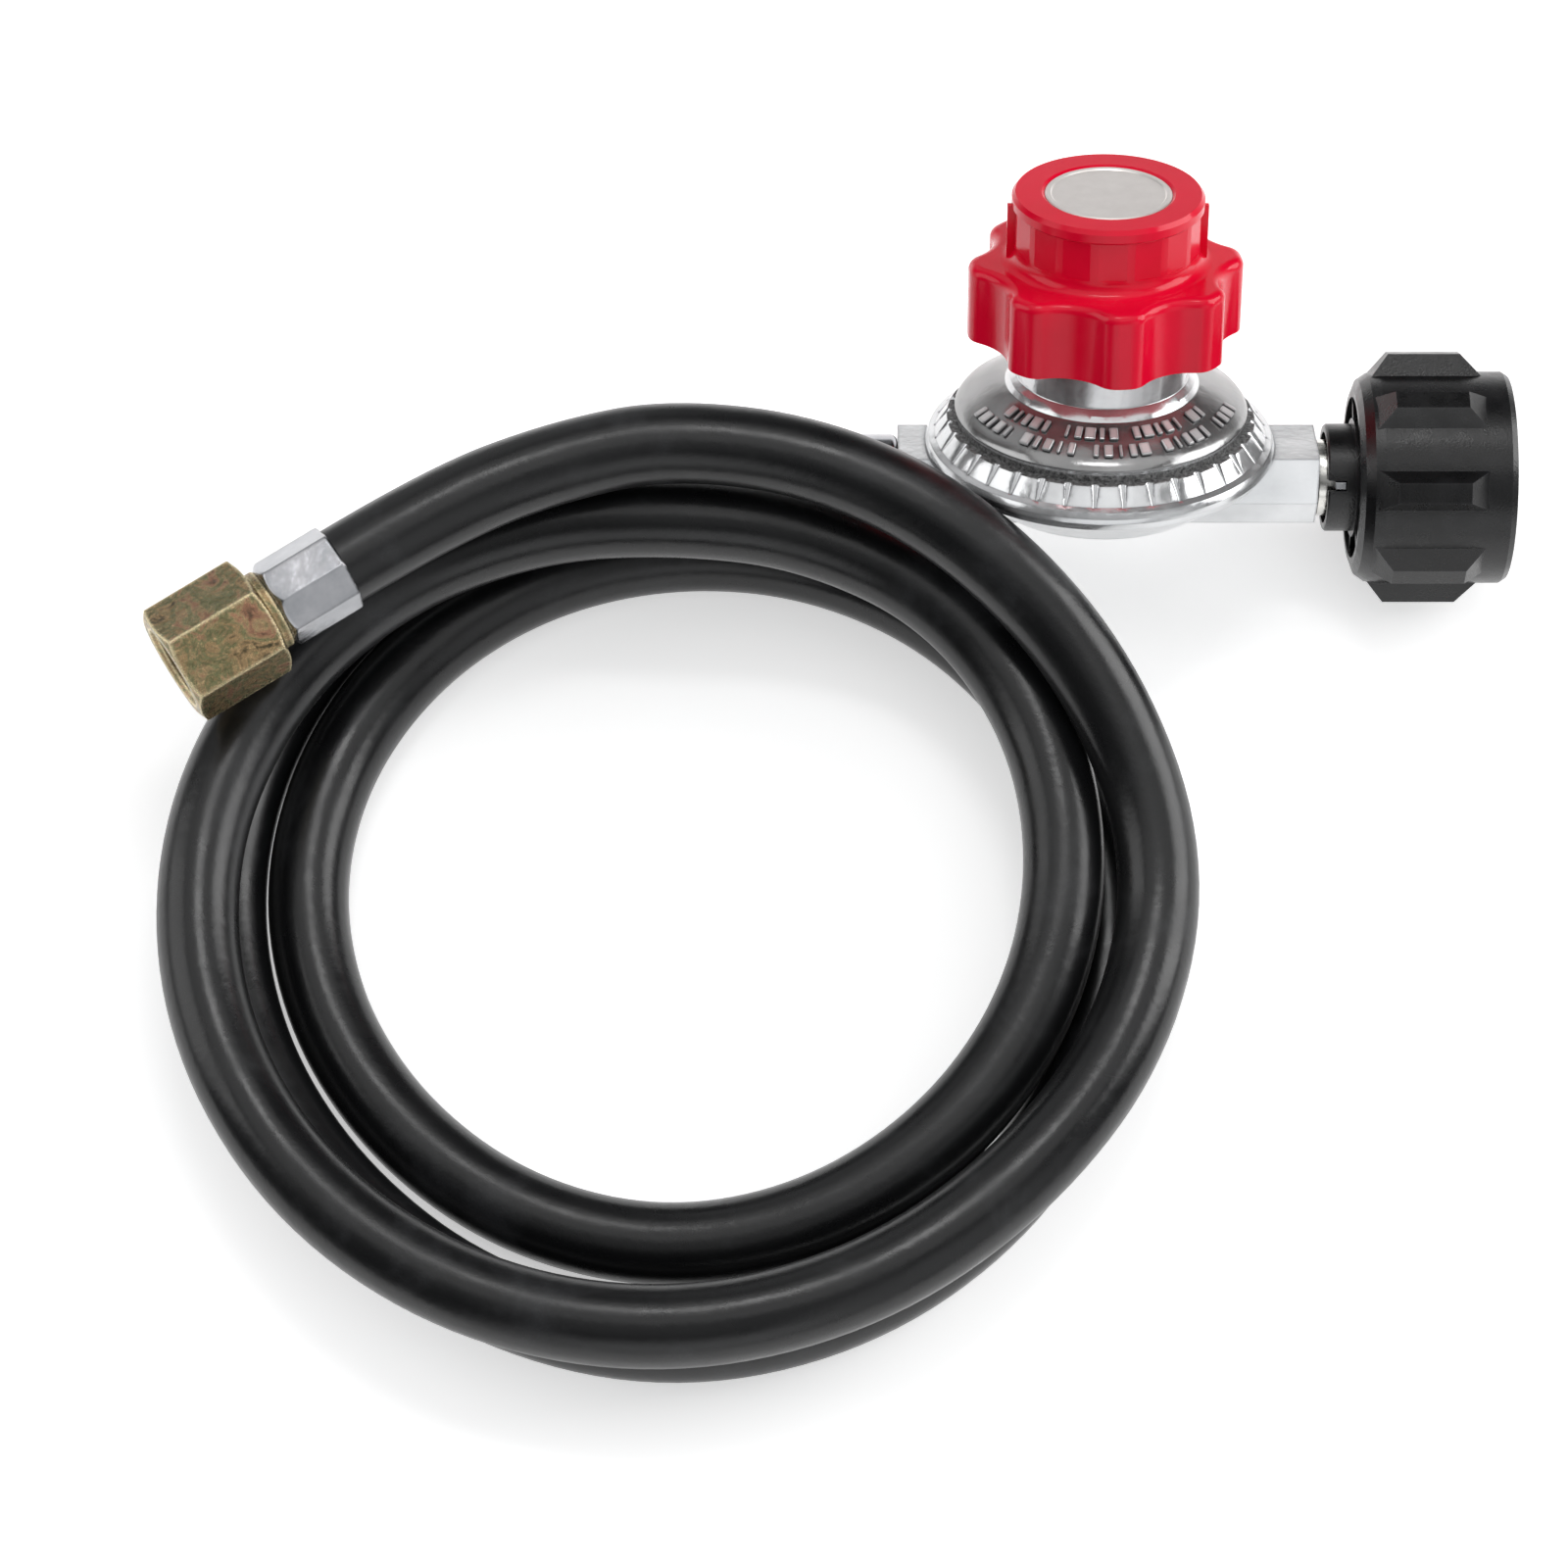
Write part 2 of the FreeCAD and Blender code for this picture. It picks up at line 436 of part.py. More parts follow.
holder_head = block(
    "holder_head",
    ("Dims.holder_head", "2 * Dims.holder_half", "Dims.holder_low + Dims.holder_head_top"),
    ("Dims.holder_right - Dims.holder_head", "-Dims.holder_half", "-Dims.holder_low"))
holder_slot = block(
    "holder_slot",
    ("2 * Dims.holder_slot_half", "3 * Dims.arm_half_y",
     "Dims.holder_slot_low + Dims.holder_top + Dims.overcut"),
    ("-Dims.pivot_x - Dims.holder_slot_half", "-1.5 * Dims.arm_half_y",
     "-Dims.holder_slot_low"))
holder_socket = cylinder(
    "holder_socket", "Dims.seat_disc_r",
    "Dims.holder_right - Dims.seat_disc_from + Dims.overcut",
    ("Dims.seat_disc_from", "0", "0"), ALONG_X)
node("valve_holder", cut(
    "holder_finished", fused("holder_blank", [holder_bar, holder_head]),
    [holder_slot, holder_socket]), UPRIGHT)
node("seat_disc", cylinder(
    "seat_pad", "Dims.seat_disc_r", "Dims.seat_disc_to - Dims.seat_disc_from"),
    UPRIGHT.multiply(Placement(V(value("seat_disc_from"), 0, 0), ALONG_X)))
node("orifice", turned("nozzle", [
    ("nozzle_bore", "nozzle_tip_x"), ("nozzle_tip_r", "nozzle_tip_x"),
    ("nozzle_neck_r", "nozzle_neck_x"), ("nozzle_bore_r", "nozzle_neck_x"),
    ("nozzle_bore_r", "inlet_bore_from"), ("nozzle_bore", "inlet_bore_from")]), INLET)

# ---------------------------------------------------------------- springs


def coil_spring(label, wire, mean, pitch, span):
    """Round-wire spring about own Z that starts at the origin height."""
    path = primitive("Part::Helix", label + "_path", {
        "Radius": cell(mean), "Pitch": cell(pitch), "Height": cell(span)})
    ring = primitive("Part::Circle", label + "_wire", {"Radius": cell(wire)},
                     (cell(mean), "0", "0"), Rotation(V(1, 0, 0), 90))
    wound = doc.addObject("Part::Sweep", label + "_wound")
    wound.Sections = [ring]
    wound.Spine = (path, [])
    wound.Solid = True
    wound.Frenet = True
    return wound


node("main_spring", coil_spring(
    "main", "spring_wire_r", "spring_mean_r", "spring_pitch", "spring_span"),
    UPRIGHT.multiply(Placement(V(0, 0, value("spring_from")), Rotation())))

# ---------------------------------------------------------------- adjuster and knob
node("spring_button", turned("button", [
    ("0", "button_spigot_low"), ("button_spigot_r", "button_spigot_low"),
    ("button_spigot_r", "button_low"), ("button_r", "button_low"),
    ("button_r", "button_edge_z"), ("button_cone_r", "button_top"), ("0", "button_top")]),
    UPRIGHT)
node("adjusting_screw", turned("thrust_screw", [
    ("0", "button_top"), ("screw_tip_r", "button_top"), ("screw_r", "screw_edge_z"),
    ("screw_r", "screw_top"), ("core_r", "screw_top"), ("core_r", "screw_core_low"),
    ("0", "screw_core_low")]), UPRIGHT)
fixing_blank = turned("fixing_blank", [
    ("0", "fixing_low"), ("core_r", "fixing_low"), ("core_r", "fixing_seat"),
    ("fixing_head_r", "fixing_seat"), ("fixing_head_r", "fixing_edge_z"),
    ("fixing_edge_r", "fixing_top"), ("0", "fixing_top")])
fixing_slots = [
    block("fixing_slot_%s" % name, sizes, at)
    for name, sizes, at in (
        ("wide", ("1.4 * Dims.fixing_head_r", "Dims.fixing_slot_w", "2 * Dims.overcut"),
         ("-0.7 * Dims.fixing_head_r", "-Dims.fixing_slot_w / 2", "Dims.fixing_slot_z")),
        ("deep", ("Dims.fixing_slot_w", "1.4 * Dims.fixing_head_r", "2 * Dims.overcut"),
         ("-Dims.fixing_slot_w / 2", "-0.7 * Dims.fixing_head_r", "Dims.fixing_slot_z")))]
node("knob_screw", cut("fixing_finished", fixing_blank, fixing_slots), UPRIGHT)


def scallop(index, angle):
    """Cylinder that hollows one valley between two crests."""
    item = cylinder("scallop_%d" % index, "Dims.scallop_r",
                    "Dims.skirt_top - Dims.skirt_low + 2 * Dims.overcut")
    item.setExpression("Placement.Base.x", "Dims.scallop_at * cos(%s deg)" % angle)
    item.setExpression("Placement.Base.y", "Dims.scallop_at * sin(%s deg)" % angle)
    item.setExpression("Placement.Base.z", "Dims.skirt_low - Dims.overcut")
    return item


NEAR = 0.01


def is_upright(edge):
    return edge.BoundBox.ZLength > value("skirt_round")


def is_skirt_top(edge):
    return edge.BoundBox.ZMin > value("skirt_top") - NEAR


def is_hub_foot(edge):
    """Circle where the hub stands on the skirt."""
    box = edge.BoundBox
    level = abs(box.ZMin - value("skirt_top")) < NEAR and box.ZLength < NEAR
    return level and abs(box.XMax - value("knob_hub_r")) < NEAR


lobe_step = 360.0 / value("lobes")
scallops = around(
    "scallops", scallop, int(value("lobes")), value("first_crest") + lobe_step / 2)
skirt_disc = cylinder("skirt_disc", "Dims.crest_r", "Dims.skirt_top - Dims.skirt_low",
                      ("0", "0", "Dims.skirt_low"))
skirt = rounded("skirt_crests", cut("skirt_lobed", skirt_disc, [scallops]), "crest_round",
                is_upright)
skirt = rounded("skirt_edge", skirt, "skirt_round", is_skirt_top)
hub = turned("knob_hub", [
    ("0", "cavity_step"), ("knob_hub_r", "cavity_step"), ("knob_hub_r", "rim_low_z"),
    ("rim_r", "rim_in_z"), ("rim_r", "rim_high_z"), ("rim_edge_r", "knob_top"),
    ("recess_in_r", "knob_top"), ("recess_r", "recess_in_z"), ("recess_r", "recess_z"),
    ("0", "recess_z")])


def facet(index, angle):
    """Slab that planes one shallow flat on the side of the hub."""
    return block(
        "facet_%02d" % index,
        ("Dims.facet_deep", "Dims.facet_wide", "Dims.facet_high - Dims.facet_low"),
        ("Dims.facet_at * cos(%s deg) + Dims.facet_wide / 2 * sin(%s deg)" % (angle, angle),
         "Dims.facet_at * sin(%s deg) - Dims.facet_wide / 2 * cos(%s deg)" % (angle, angle),
         "Dims.facet_low"),
        Rotation(V(0, 0, 1), angle))


facets = around("facets", facet, int(value("facets")), 0)
handle = rounded("handle", fused("hub_and_skirt", [skirt, hub]), "hub_round", is_hub_foot)
handle_faceted = cut("handle_faceted", handle, [facets])
fins = [
    block("fin_%s" % side,
          ("Dims.fin_reach - Dims.fin_in", "2 * Dims.fin_half", "Dims.rim_in_z - Dims.skirt_top"),
          (at, "-Dims.fin_half", "Dims.skirt_top - Dims.fin_sink"))
    for side, at in (("right", "Dims.fin_in"), ("left", "-Dims.fin_reach"))]
knob_cavity = turned("knob_cavity", [
    ("0", "cavity_open"), ("cavity_r", "cavity_open"), ("cavity_r", "cavity_step"),
    ("cavity_tip_r", "cavity_step"), ("cavity_tip_r", "cavity_roof"),
    ("screw_r", "cavity_roof"), ("screw_r", "screw_top"), ("core_r", "screw_top"),
    ("core_r", "fixing_seat"), ("sink_r", "fixing_seat"), ("sink_r", "knob_top"),
    ("0", "knob_top")])
node("knob", cut("knob_finished", fused("knob_blank", [handle_faceted] + fins),
                 [knob_cavity]), UPRIGHT)
node("knob_cap", turned("cap_disc", [
    ("0", "recess_z"), ("cap_r", "recess_z"), ("cap_r", "cap_edge_z"),
    ("cap_edge_r", "cap_top"), ("cap_ring_r", "cap_top"), ("cap_face_r", "cap_face_z"),
    ("0", "cap_face_z")]), UPRIGHT)

# ---------------------------------------------------------------- inlet nipple
node("inlet_nipple", turned("nipple", [
    ("nipple_bore", "inlet_bore_from"), ("inlet_bore_r", "inlet_bore_from"),
    ("inlet_bore_r", "ring_from"), ("nipple_ring_r", "ring_from"), ("nipple_ring_r", "ring_to"),
    ("nipple_r", "ring_to"), ("nipple_r", "groove_from"), ("groove_r", "groove_from"),
    ("groove_r", "groove_to"), ("nipple_r", "groove_to"), ("nipple_r", "shoulder_from"),
    ("shoulder_r", "shoulder_from"), ("shoulder_r", "shoulder_to"), ("tube_r", "shoulder_to"),
    ("tube_r", "nose_from"), ("nose_r", "nose_from"), ("nose_r", "seal_from"),
    ("seal_groove_r", "seal_from"), ("seal_groove_r", "seal_to"), ("nose_r", "seal_to"),
    ("nose_r", "nose_edge"), ("nose_tip_r", "nose_end"), ("flow_r", "nose_end"),
    ("flow_r", "flow_from"), ("nipple_bore", "flow_neck")]), INLET)
node("nose_seal", primitive("Part::Torus", "seal_ring", {
    "Radius1": "Dims.seal_mean_r", "Radius2": "Dims.seal_wire_r"}),
    INLET.multiply(Placement(
        V(0, 0, (value("seal_from") + value("seal_to")) / 2), Rotation())))
node("thermal_bushing", turned("bushing", [
    ("tube_r", "shoulder_to"), ("bushing_r", "shoulder_to"), ("bushing_r", "bushing_edge"),
    ("bushing_edge_r", "bushing_to"), ("tube_r", "bushing_to")]), INLET)
node("flow_poppet", turned("poppet", [
    ("0", "poppet_tip"), ("poppet_tip_r", "poppet_tip"), ("poppet_tip_r", "poppet_from"),
    ("poppet_r", "poppet_from"), ("poppet_r", "poppet_to"), ("poppet_tail_r", "poppet_to"),
    ("poppet_tail_r", "poppet_tail"), ("0", "poppet_tail")]), INLET)
node("poppet_spring", coil_spring(
    "check", "check_wire_r", "check_mean_r", "check_pitch", "check_span"),
    INLET.multiply(Placement(V(0, 0, value("check_from")), Rotation())))
node("poppet_cage", turned("cage", [
    ("cage_r", "cage_from"), ("flow_r", "cage_from"), ("flow_r", "cage_to"),
    ("cage_r", "cage_to")]), INLET)

# ---------------------------------------------------------------- hand nut
nut_turned = turned("nut_turned", [
    ("clip_pocket_r", "nut_from"), ("collar_edge_r", "nut_from"), ("collar_r", "collar_edge"),
    ("collar_r", "nut_face"), ("moat_in_r", "nut_face"), ("moat_in_r", "moat_floor"),
    ("moat_out_r", "moat_floor"), ("moat_out_r", "nut_face"), ("face_r", "nut_face"),
    ("nut_round_a_r", "nut_round_a"), ("nut_round_b_r", "nut_round_b"),
    ("nut_r", "nut_round_c"), ("nut_r", "nut_edge"), ("nut_edge_r", "nut_to"),
    ("mouth_r", "nut_to"), ("thread_r", "mouth_in"), ("thread_r", "turn_f"),
    ("thread_root_r", "turn_e"), ("thread_r", "turn_d"), ("thread_root_r", "turn_c"),
    ("thread_r", "turn_b"), ("thread_root_r", "turn_a"), ("thread_r", "thread_from"),
    ("pocket_r", "thread_from"), ("pocket_r", "pocket_from"), ("nut_bore_r", "pocket_from"),
    ("nut_bore_r", "pocket_clip_to"), ("clip_pocket_r", "pocket_clip_to")])


def rib(index, angle):
    """Grip rib: a wedge whose base sits on the barrel."""
    item = primitive("Part::Wedge", "rib_%d" % index, {
        "Xmin": "Dims.rib_from", "Xmax": "Dims.rib_to",
        "X2min": "Dims.rib_top_from", "X2max": "Dims.rib_top_to",
        "Ymin": "Dims.rib_root_r", "Ymax": "Dims.rib_tip_r",
        "Zmin": "-Dims.rib_half", "Zmax": "Dims.rib_half",
        "Z2min": "-Dims.rib_top_half", "Z2max": "Dims.rib_top_half"})
    upright = Rotation(V(0, 0, 1), V(1, 0, 0), V(0, 1, 0), "XYZ")
    item.Placement = Placement(V(0, 0, 0), Rotation(V(0, 0, 1), angle).multiply(upright))
    return item


def web(index, angle):
    """Thin radial wall across the ring groove in the nut's rear face."""
    return block(
        "web_%d" % index,
        ("Dims.moat_out_r - Dims.moat_in_r + 2 * Dims.web_sink", "2 * Dims.web_half",
         "Dims.moat_floor - Dims.nut_face - Dims.web_drop + Dims.web_gap"),
        ("(Dims.moat_in_r - Dims.web_sink) * cos(%s deg) + Dims.web_half * sin(%s deg)"
         % (angle, angle),
         "(Dims.moat_in_r - Dims.web_sink) * sin(%s deg) - Dims.web_half * cos(%s deg)"
         % (angle, angle),
         "Dims.nut_face + Dims.web_drop"),
        Rotation(V(0, 0, 1), angle))


def radial_block(label, inner, outer, width, low, high, angle):
    """Block that points outwards at an angle about own Z."""
    return block(
        label, ("%s - %s" % (outer, inner), width, "%s - %s" % (high, low)),
        ("%s * cos(%s deg) + %s / 2 * sin(%s deg)" % (inner, angle, width, angle),
         "%s * sin(%s deg) - %s / 2 * cos(%s deg)" % (inner, angle, width, angle), low),
        Rotation(V(0, 0, 1), angle))


ribs = around("grip_ribs", rib, int(value("ribs")), value("first_rib"))
web_turn = 180.0 / value("webs")
webs = around("face_webs", web, int(value("webs")), value("first_rib") + web_turn)
clip_slot = radial_block(
    "clip_slot", "(Dims.clip_pocket_r - Dims.overcut)", "(Dims.collar_r + Dims.overcut)",
    "Dims.slot_w", "(Dims.nut_from - Dims.overcut)", "Dims.slot_to", value("slot_at"))
node("hand_nut", cut(
    "nut_finished", fused("nut_blank", [nut_turned, ribs, webs]), [clip_slot]), INLET)
clip_ring = turned("clip_ring", [
    ("clip_in_r", "clip_from"), ("clip_r", "clip_from"), ("clip_r", "clip_to"),
    ("clip_in_r", "clip_to")])
clip_tongue = radial_block(
    "clip_tongue", "(Dims.clip_in_r + 2 * Dims.overcut)", "Dims.tongue_reach", "Dims.tongue_w",
    "Dims.tongue_from", "Dims.clip_to", value("slot_at"))
node("retaining_clip", fused("clip_finished", [clip_ring, clip_tongue]), INLET)

# ---------------------------------------------------------------- outlet and regulator end cuff
node("outlet_barb", turned("barb", [
    ("barb_bore", "barb_root"), ("outlet_bore_r", "barb_root"), ("outlet_bore_r", "barb_neck"),
    ("barb_r", "barb_neck"), ("barb_r", "barb_a"), ("barb_tip_r", "barb_a"),
    ("barb_r", "barb_b"), ("barb_tip_r", "barb_b"), ("barb_r", "barb_c"),
    ("barb_tip_r", "barb_c"), ("barb_r", "barb_d"), ("barb_tip_r", "barb_d"),
    ("barb_r", "barb_e"), ("barb_r", "barb_end"), ("barb_bore", "barb_end")]), OUTLET)
node("outlet_ferrule", turned("cuff", [
    ("barb_r", "barb_neck"), ("cuff_edge_r", "barb_neck"), ("cuff_r", "cuff_edge"),
    ("cuff_r", "cuff_lip"), ("cuff_lip_r", "cuff_to"), ("cuff_in_r", "cuff_to"),
    ("cuff_in_r", "cuff_floor"), ("barb_r", "cuff_floor")]), OUTLET)
node("outlet_hose_end", turned("outlet_sleeve", [
    ("barb_tip_r", "cuff_floor"), ("cuff_in_r", "cuff_floor"), ("cuff_in_r", "cuff_to"),
    ("barb_tip_r", "cuff_to")]), OUTLET)

# ---------------------------------------------------------------- burner end
CENTRE = V(value("axis_x") - value("coil_x"), value("axis_y") - value("coil_y"), 0)
tail_points = [CENTRE + V(*point) for point in TAIL]
fitting_axis = (tail_points[-1] - tail_points[-2]).normalize()
flats_up = V(*FLATS_UP)
flats_up = (flats_up - fitting_axis * flats_up.dot(fitting_axis)).normalize()
FITTING = Placement(tail_points[-1], Rotation(
    flats_up, fitting_axis.cross(flats_up), fitting_axis, "ZXY"))
ferrule_form = turned("ferrule_form", [
    ("0", "0"), ("ferrule_mouth_r", "0"), ("ferrule_blank_r", "ferrule_mouth"),
    ("ferrule_blank_r", "ferrule_shoulder"), ("ferrule_round_r", "ferrule_round"),
    ("ferrule_end_r", "ferrule_len"), ("0", "ferrule_len")])
ferrule_flats = primitive("Part::Prism", "ferrule_flats", {
    "Circumradius": "Dims.ferrule_r", "Height": "Dims.ferrule_len"},
    turn=Rotation(V(0, 0, 1), value("ferrule_turn")))
ferrule_flats.Polygon = int(value("ferrule_sides"))
ferrule_space = turned("ferrule_space", [
    ("0", "0"), ("ferrule_in_r", "0"), ("ferrule_in_r", "ferrule_floor"),
    ("ferrule_hole_r", "ferrule_floor"), ("ferrule_hole_r", "ferrule_len"),
    ("0", "ferrule_len")])
node("burner_ferrule", cut(
    "ferrule_finished", common("ferrule_outer", [ferrule_form, ferrule_flats]),
    [ferrule_space]), FITTING)
node("burner_hose_end", turned("burner_sleeve", [
    ("stem_shank_r", "0"), ("ferrule_in_r", "0"), ("ferrule_in_r", "ferrule_floor"),
    ("stem_shank_r", "ferrule_floor")]), FITTING)
node("flare_stem", turned("stem_insert", [
    ("stem_bore", "stem_start"), ("stem_shank_r", "stem_start"), ("stem_shank_r", "ferrule_len"),
    ("gold_r", "ferrule_len"), ("gold_r", "gold_to"), ("stem_neck_r", "gold_to"),
    ("stem_neck_r", "stem_neck_to"), ("stem_head_r", "stem_neck_to"),
    ("stem_head_r", "stem_cone"), ("stem_shank_r", "stem_end"), ("stem_bore", "stem_end")]),
    FITTING)
flare_form = turned("flare_form", [
    ("0", "flare_from"), ("flare_face_r", "flare_from"), ("flare_blank_r", "flare_bevel_low"),
    ("flare_blank_r", "flare_bevel_high"), ("flare_face_r", "flare_to"), ("0", "flare_to")])
flare_hex = primitive("Part::Prism", "flare_hex", {
    "Circumradius": "Dims.flare_corner_r", "Height": "Dims.flare_to - Dims.flare_from"},
    ("0", "0", "Dims.flare_from"), Rotation(V(0, 0, 1), value("flare_turn")))
flare_hex.Polygon = 6
flare_space = turned("flare_space", [
    ("0", "flare_from"), ("flare_hole_r", "flare_from"), ("flare_hole_r", "flare_web"),
    ("flare_relief_r", "flare_web"), ("flare_relief_r", "flare_thread"),
    ("flare_bore_r", "flare_thread"), ("flare_bore_r", "flare_mouth"),
    ("flare_mouth_r", "flare_to"), ("0", "flare_to")])
node("flare_nut", cut(
    "flare_nut_finished", common("flare_nut_outer", [flare_form, flare_hex]), [flare_space]),
    FITTING)

# ---------------------------------------------------------------- hose
HOSE_R = value("hose_r")


def station(place):
    """Radius and height of the hose at a fractional station, smooth through the list."""
    low = min(int(math.floor(place)), len(STATIONS) - 2)
    part = place - low
    picked = [STATIONS[max(0, min(len(STATIONS) - 1, low + k))] for k in (-1, 0, 1, 2)]
    before, here, after, beyond = [V(r, z, 0) for r, z in picked]
    slope = (after - before) * part
    bend = (before * 2 - here * 5 + after * 4 - beyond) * part ** 2
    twist = (here * 3 - before - after * 3 + beyond) * part ** 3
    point = (here * 2 + slope + bend + twist) * 0.5
    return point.x, point.y


def coil_section(index):
    """Chamfered outline round every strand at one angle of the coil."""
    places = [index * 0.5 + STATIONS_PER_TURN * turn for turn in range(TURNS)]
    strands = [station(place) for place in places]
    reach = HOSE_R + value("coil_cover")
    inner = min(r for r, z in strands) - reach
    outer = max(r for r, z in strands) + reach
    top = max(z for r, z in strands) + reach
    level = min(HOSE_R, top / 3)
    corner = HOSE_R / 2
    outline = [
        (inner + corner, 0), (outer - corner, 0), (outer, corner), (outer, top - level),
        (outer - corner, top), (inner + corner, top), (inner, top - level), (inner, corner)]
    angle = math.radians(90 + index * STATION_STEP / 2)
    points = [CENTRE + V(r * math.cos(angle), r * math.sin(angle), z) for r, z in outline]
    return Part.makePolygon(points + points[:1])


def coil_half(label, indexes):
    """Ruled loft through neighbouring sections of the coil."""
    half = doc.addObject("Part::Feature", label)
    half.Shape = Part.makeLoft([coil_section(index) for index in indexes], True, True)
    return half


def rounded_path(points):
    """Straight runs joined by tangent arcs; also returns the arc radii."""
    edges = []
    radii = []
    start = points[0]
    for before, corner, after in zip(points, points[1:], points[2:]):
        run_in = corner - before
        run_out = after - corner
        reach = RUN_SHARE * min(run_in.Length, run_out.Length)
        half_turn = run_in.getAngle(run_out) / 2
        radius = reach / math.tan(half_turn)
        enter = corner - V(run_in).normalize() * reach
        leave = corner + V(run_out).normalize() * reach
        inward = ((enter + leave) * 0.5 - corner).normalize()
        depth = radius / math.cos(half_turn) - radius
        edges.append(Part.LineSegment(start, enter).toShape())
        edges.append(Part.Arc(enter, corner + inward * depth, leave).toShape())
        radii.append(round(radius, 1))
        start = leave
    edges.append(Part.LineSegment(start, points[-1]).toShape())
    return Part.Wire(edges), radii


def hose_along(label, spine, radius):
    """Round hose swept along a spine object."""
    start = spine.Shape.Edges[0]
    heading = start.tangentAt(start.FirstParameter)
    ring = primitive("Part::Circle", label + "_ring", {"Radius": radius})
    ring.Placement = Placement(start.Vertexes[0].Point, Rotation(V(0, 0, 1), heading))
    tube = doc.addObject("Part::Sweep", label + "_tube")
    tube.Sections = [ring]
    tube.Spine = (spine, [])
    tube.Solid = True
    tube.Frenet = False
    return tube


tail_spine = doc.addObject("Part::Feature", "tail_spine")
tail_spine.Shape, tail_radii = rounded_path(tail_points)
print("hose tail arc radii", tail_radii)
node("hose_tail", hose_along("tail", tail_spine, "Dims.hose_r"), Placement())
lead_start = CENTRE + V(value("lead_from"), value("coil_y"), value("axis_z"))
node("hose_lead", cylinder("lead_run", "Dims.hose_r", "Dims.lead_from - Dims.lead_to"),
     Placement(lead_start, ALONG_LEFT))

coil_blank = fused("coil_blank", [
    coil_half("coil_first_half", range(0, SECTIONS // 2 + 1)),
    coil_half("coil_second_half", range(SECTIONS // 2, SECTIONS + 1))])
regulator_space = turned("regulator_space", [
    ("0", "space_floor"), ("space_foot_r", "space_floor"), ("space_side_r", "space_side_z"),
    ("space_r", "space_low"), ("space_r", "space_high"), ("space_dome_r", "space_dome_z"),
    ("space_knob_r", "space_knob_z"), ("space_knob_r", "space_top"), ("0", "space_top")])
regulator_space.Placement = UPRIGHT
sleeve_space = cylinder("sleeve_space", "Dims.sleeve_r", "Dims.sleeve_to")
sleeve_space.Placement = Placement(CENTRE + V(
    value("lead_to"), value("coil_y"), value("axis_z")), ALONG_X)
tail_space = hose_along("tail_space", tail_spine, "Dims.hose_r + Dims.coil_cover")
fitting_space = cylinder("fitting_space", "Dims.fitting_space_r", "Dims.flare_to + Dims.overcut")
fitting_space.Placement = FITTING
node("hose_coil", cut("coil_finished", coil_blank, [
    regulator_space, sleeve_space, tail_space, fitting_space]), Placement())

# ---------------------------------------------------------------- check and write
doc.recompute()
for item in doc.Objects:
    if "Invalid" in item.State or "Error" in item.State:
        raise RuntimeError("%s (%s) did not build: %s" % (item.Name, item.Label, item.State))
for label, item in NODES.items():
    shape = item.Shape
    if shape.isNull() or not shape.isValid() or shape.Volume <= 0:
        raise RuntimeError("%s has no valid solid" % label)
    if len(shape.Solids) != 1:
        raise RuntimeError("%s is %d solids" % (label, len(shape.Solids)))

os.makedirs("parts", exist_ok=True)
for label, item in NODES.items():
    item.Shape.exportStep("parts/%s.step" % label)
    box = item.Shape.BoundBox
    print("%-17s volume %9.1f  x %7.2f %7.2f  y %7.2f %7.2f  z %6.2f %6.2f" % (
        label, item.Shape.Volume, box.XMin, box.XMax, box.YMin, box.YMax, box.ZMin, box.ZMax))
hose_section = math.pi * HOSE_R ** 2
print("tail volume over section x length: %.4f" % (
    NODES["hose_tail"].Shape.Volume / (hose_section * tail_spine.Shape.Length)))
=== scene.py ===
# Propane regulator with its coiled hose, on a pale floor.  Metres, +Z up.
import bpy
import bmesh
import json
import math
from mathutils import Matrix, Vector
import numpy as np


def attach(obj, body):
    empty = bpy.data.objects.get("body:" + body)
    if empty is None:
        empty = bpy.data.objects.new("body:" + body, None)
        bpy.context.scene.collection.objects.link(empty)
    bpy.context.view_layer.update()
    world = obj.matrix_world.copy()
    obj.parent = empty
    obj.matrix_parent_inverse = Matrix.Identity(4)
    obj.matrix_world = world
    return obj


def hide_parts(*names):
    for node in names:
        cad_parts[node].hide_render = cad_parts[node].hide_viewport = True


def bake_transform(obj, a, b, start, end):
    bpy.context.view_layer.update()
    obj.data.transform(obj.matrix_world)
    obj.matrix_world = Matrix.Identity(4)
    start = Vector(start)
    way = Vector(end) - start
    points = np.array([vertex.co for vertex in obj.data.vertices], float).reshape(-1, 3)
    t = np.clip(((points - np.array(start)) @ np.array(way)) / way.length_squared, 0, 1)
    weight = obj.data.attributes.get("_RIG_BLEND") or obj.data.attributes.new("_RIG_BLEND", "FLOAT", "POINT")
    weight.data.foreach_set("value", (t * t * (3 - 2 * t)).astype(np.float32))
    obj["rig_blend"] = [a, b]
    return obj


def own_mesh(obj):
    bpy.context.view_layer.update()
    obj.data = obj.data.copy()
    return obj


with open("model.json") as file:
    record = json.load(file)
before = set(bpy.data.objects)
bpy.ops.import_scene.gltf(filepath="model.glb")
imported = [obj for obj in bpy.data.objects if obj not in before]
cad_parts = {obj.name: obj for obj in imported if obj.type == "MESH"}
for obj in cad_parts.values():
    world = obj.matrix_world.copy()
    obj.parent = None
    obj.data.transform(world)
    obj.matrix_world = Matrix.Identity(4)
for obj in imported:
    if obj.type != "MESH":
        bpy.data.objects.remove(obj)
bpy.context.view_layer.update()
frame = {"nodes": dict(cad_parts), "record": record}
nodes = frame["nodes"]

# shapes are given in millimetres and brought to metres with MM
MM = 0.001
# the knob axis leans this far toward +Y
LEAN = math.radians(35)
# millimetres from the inlet axis up to the place of the knob_turn joint
KNOB_TURN_HEIGHT = 45


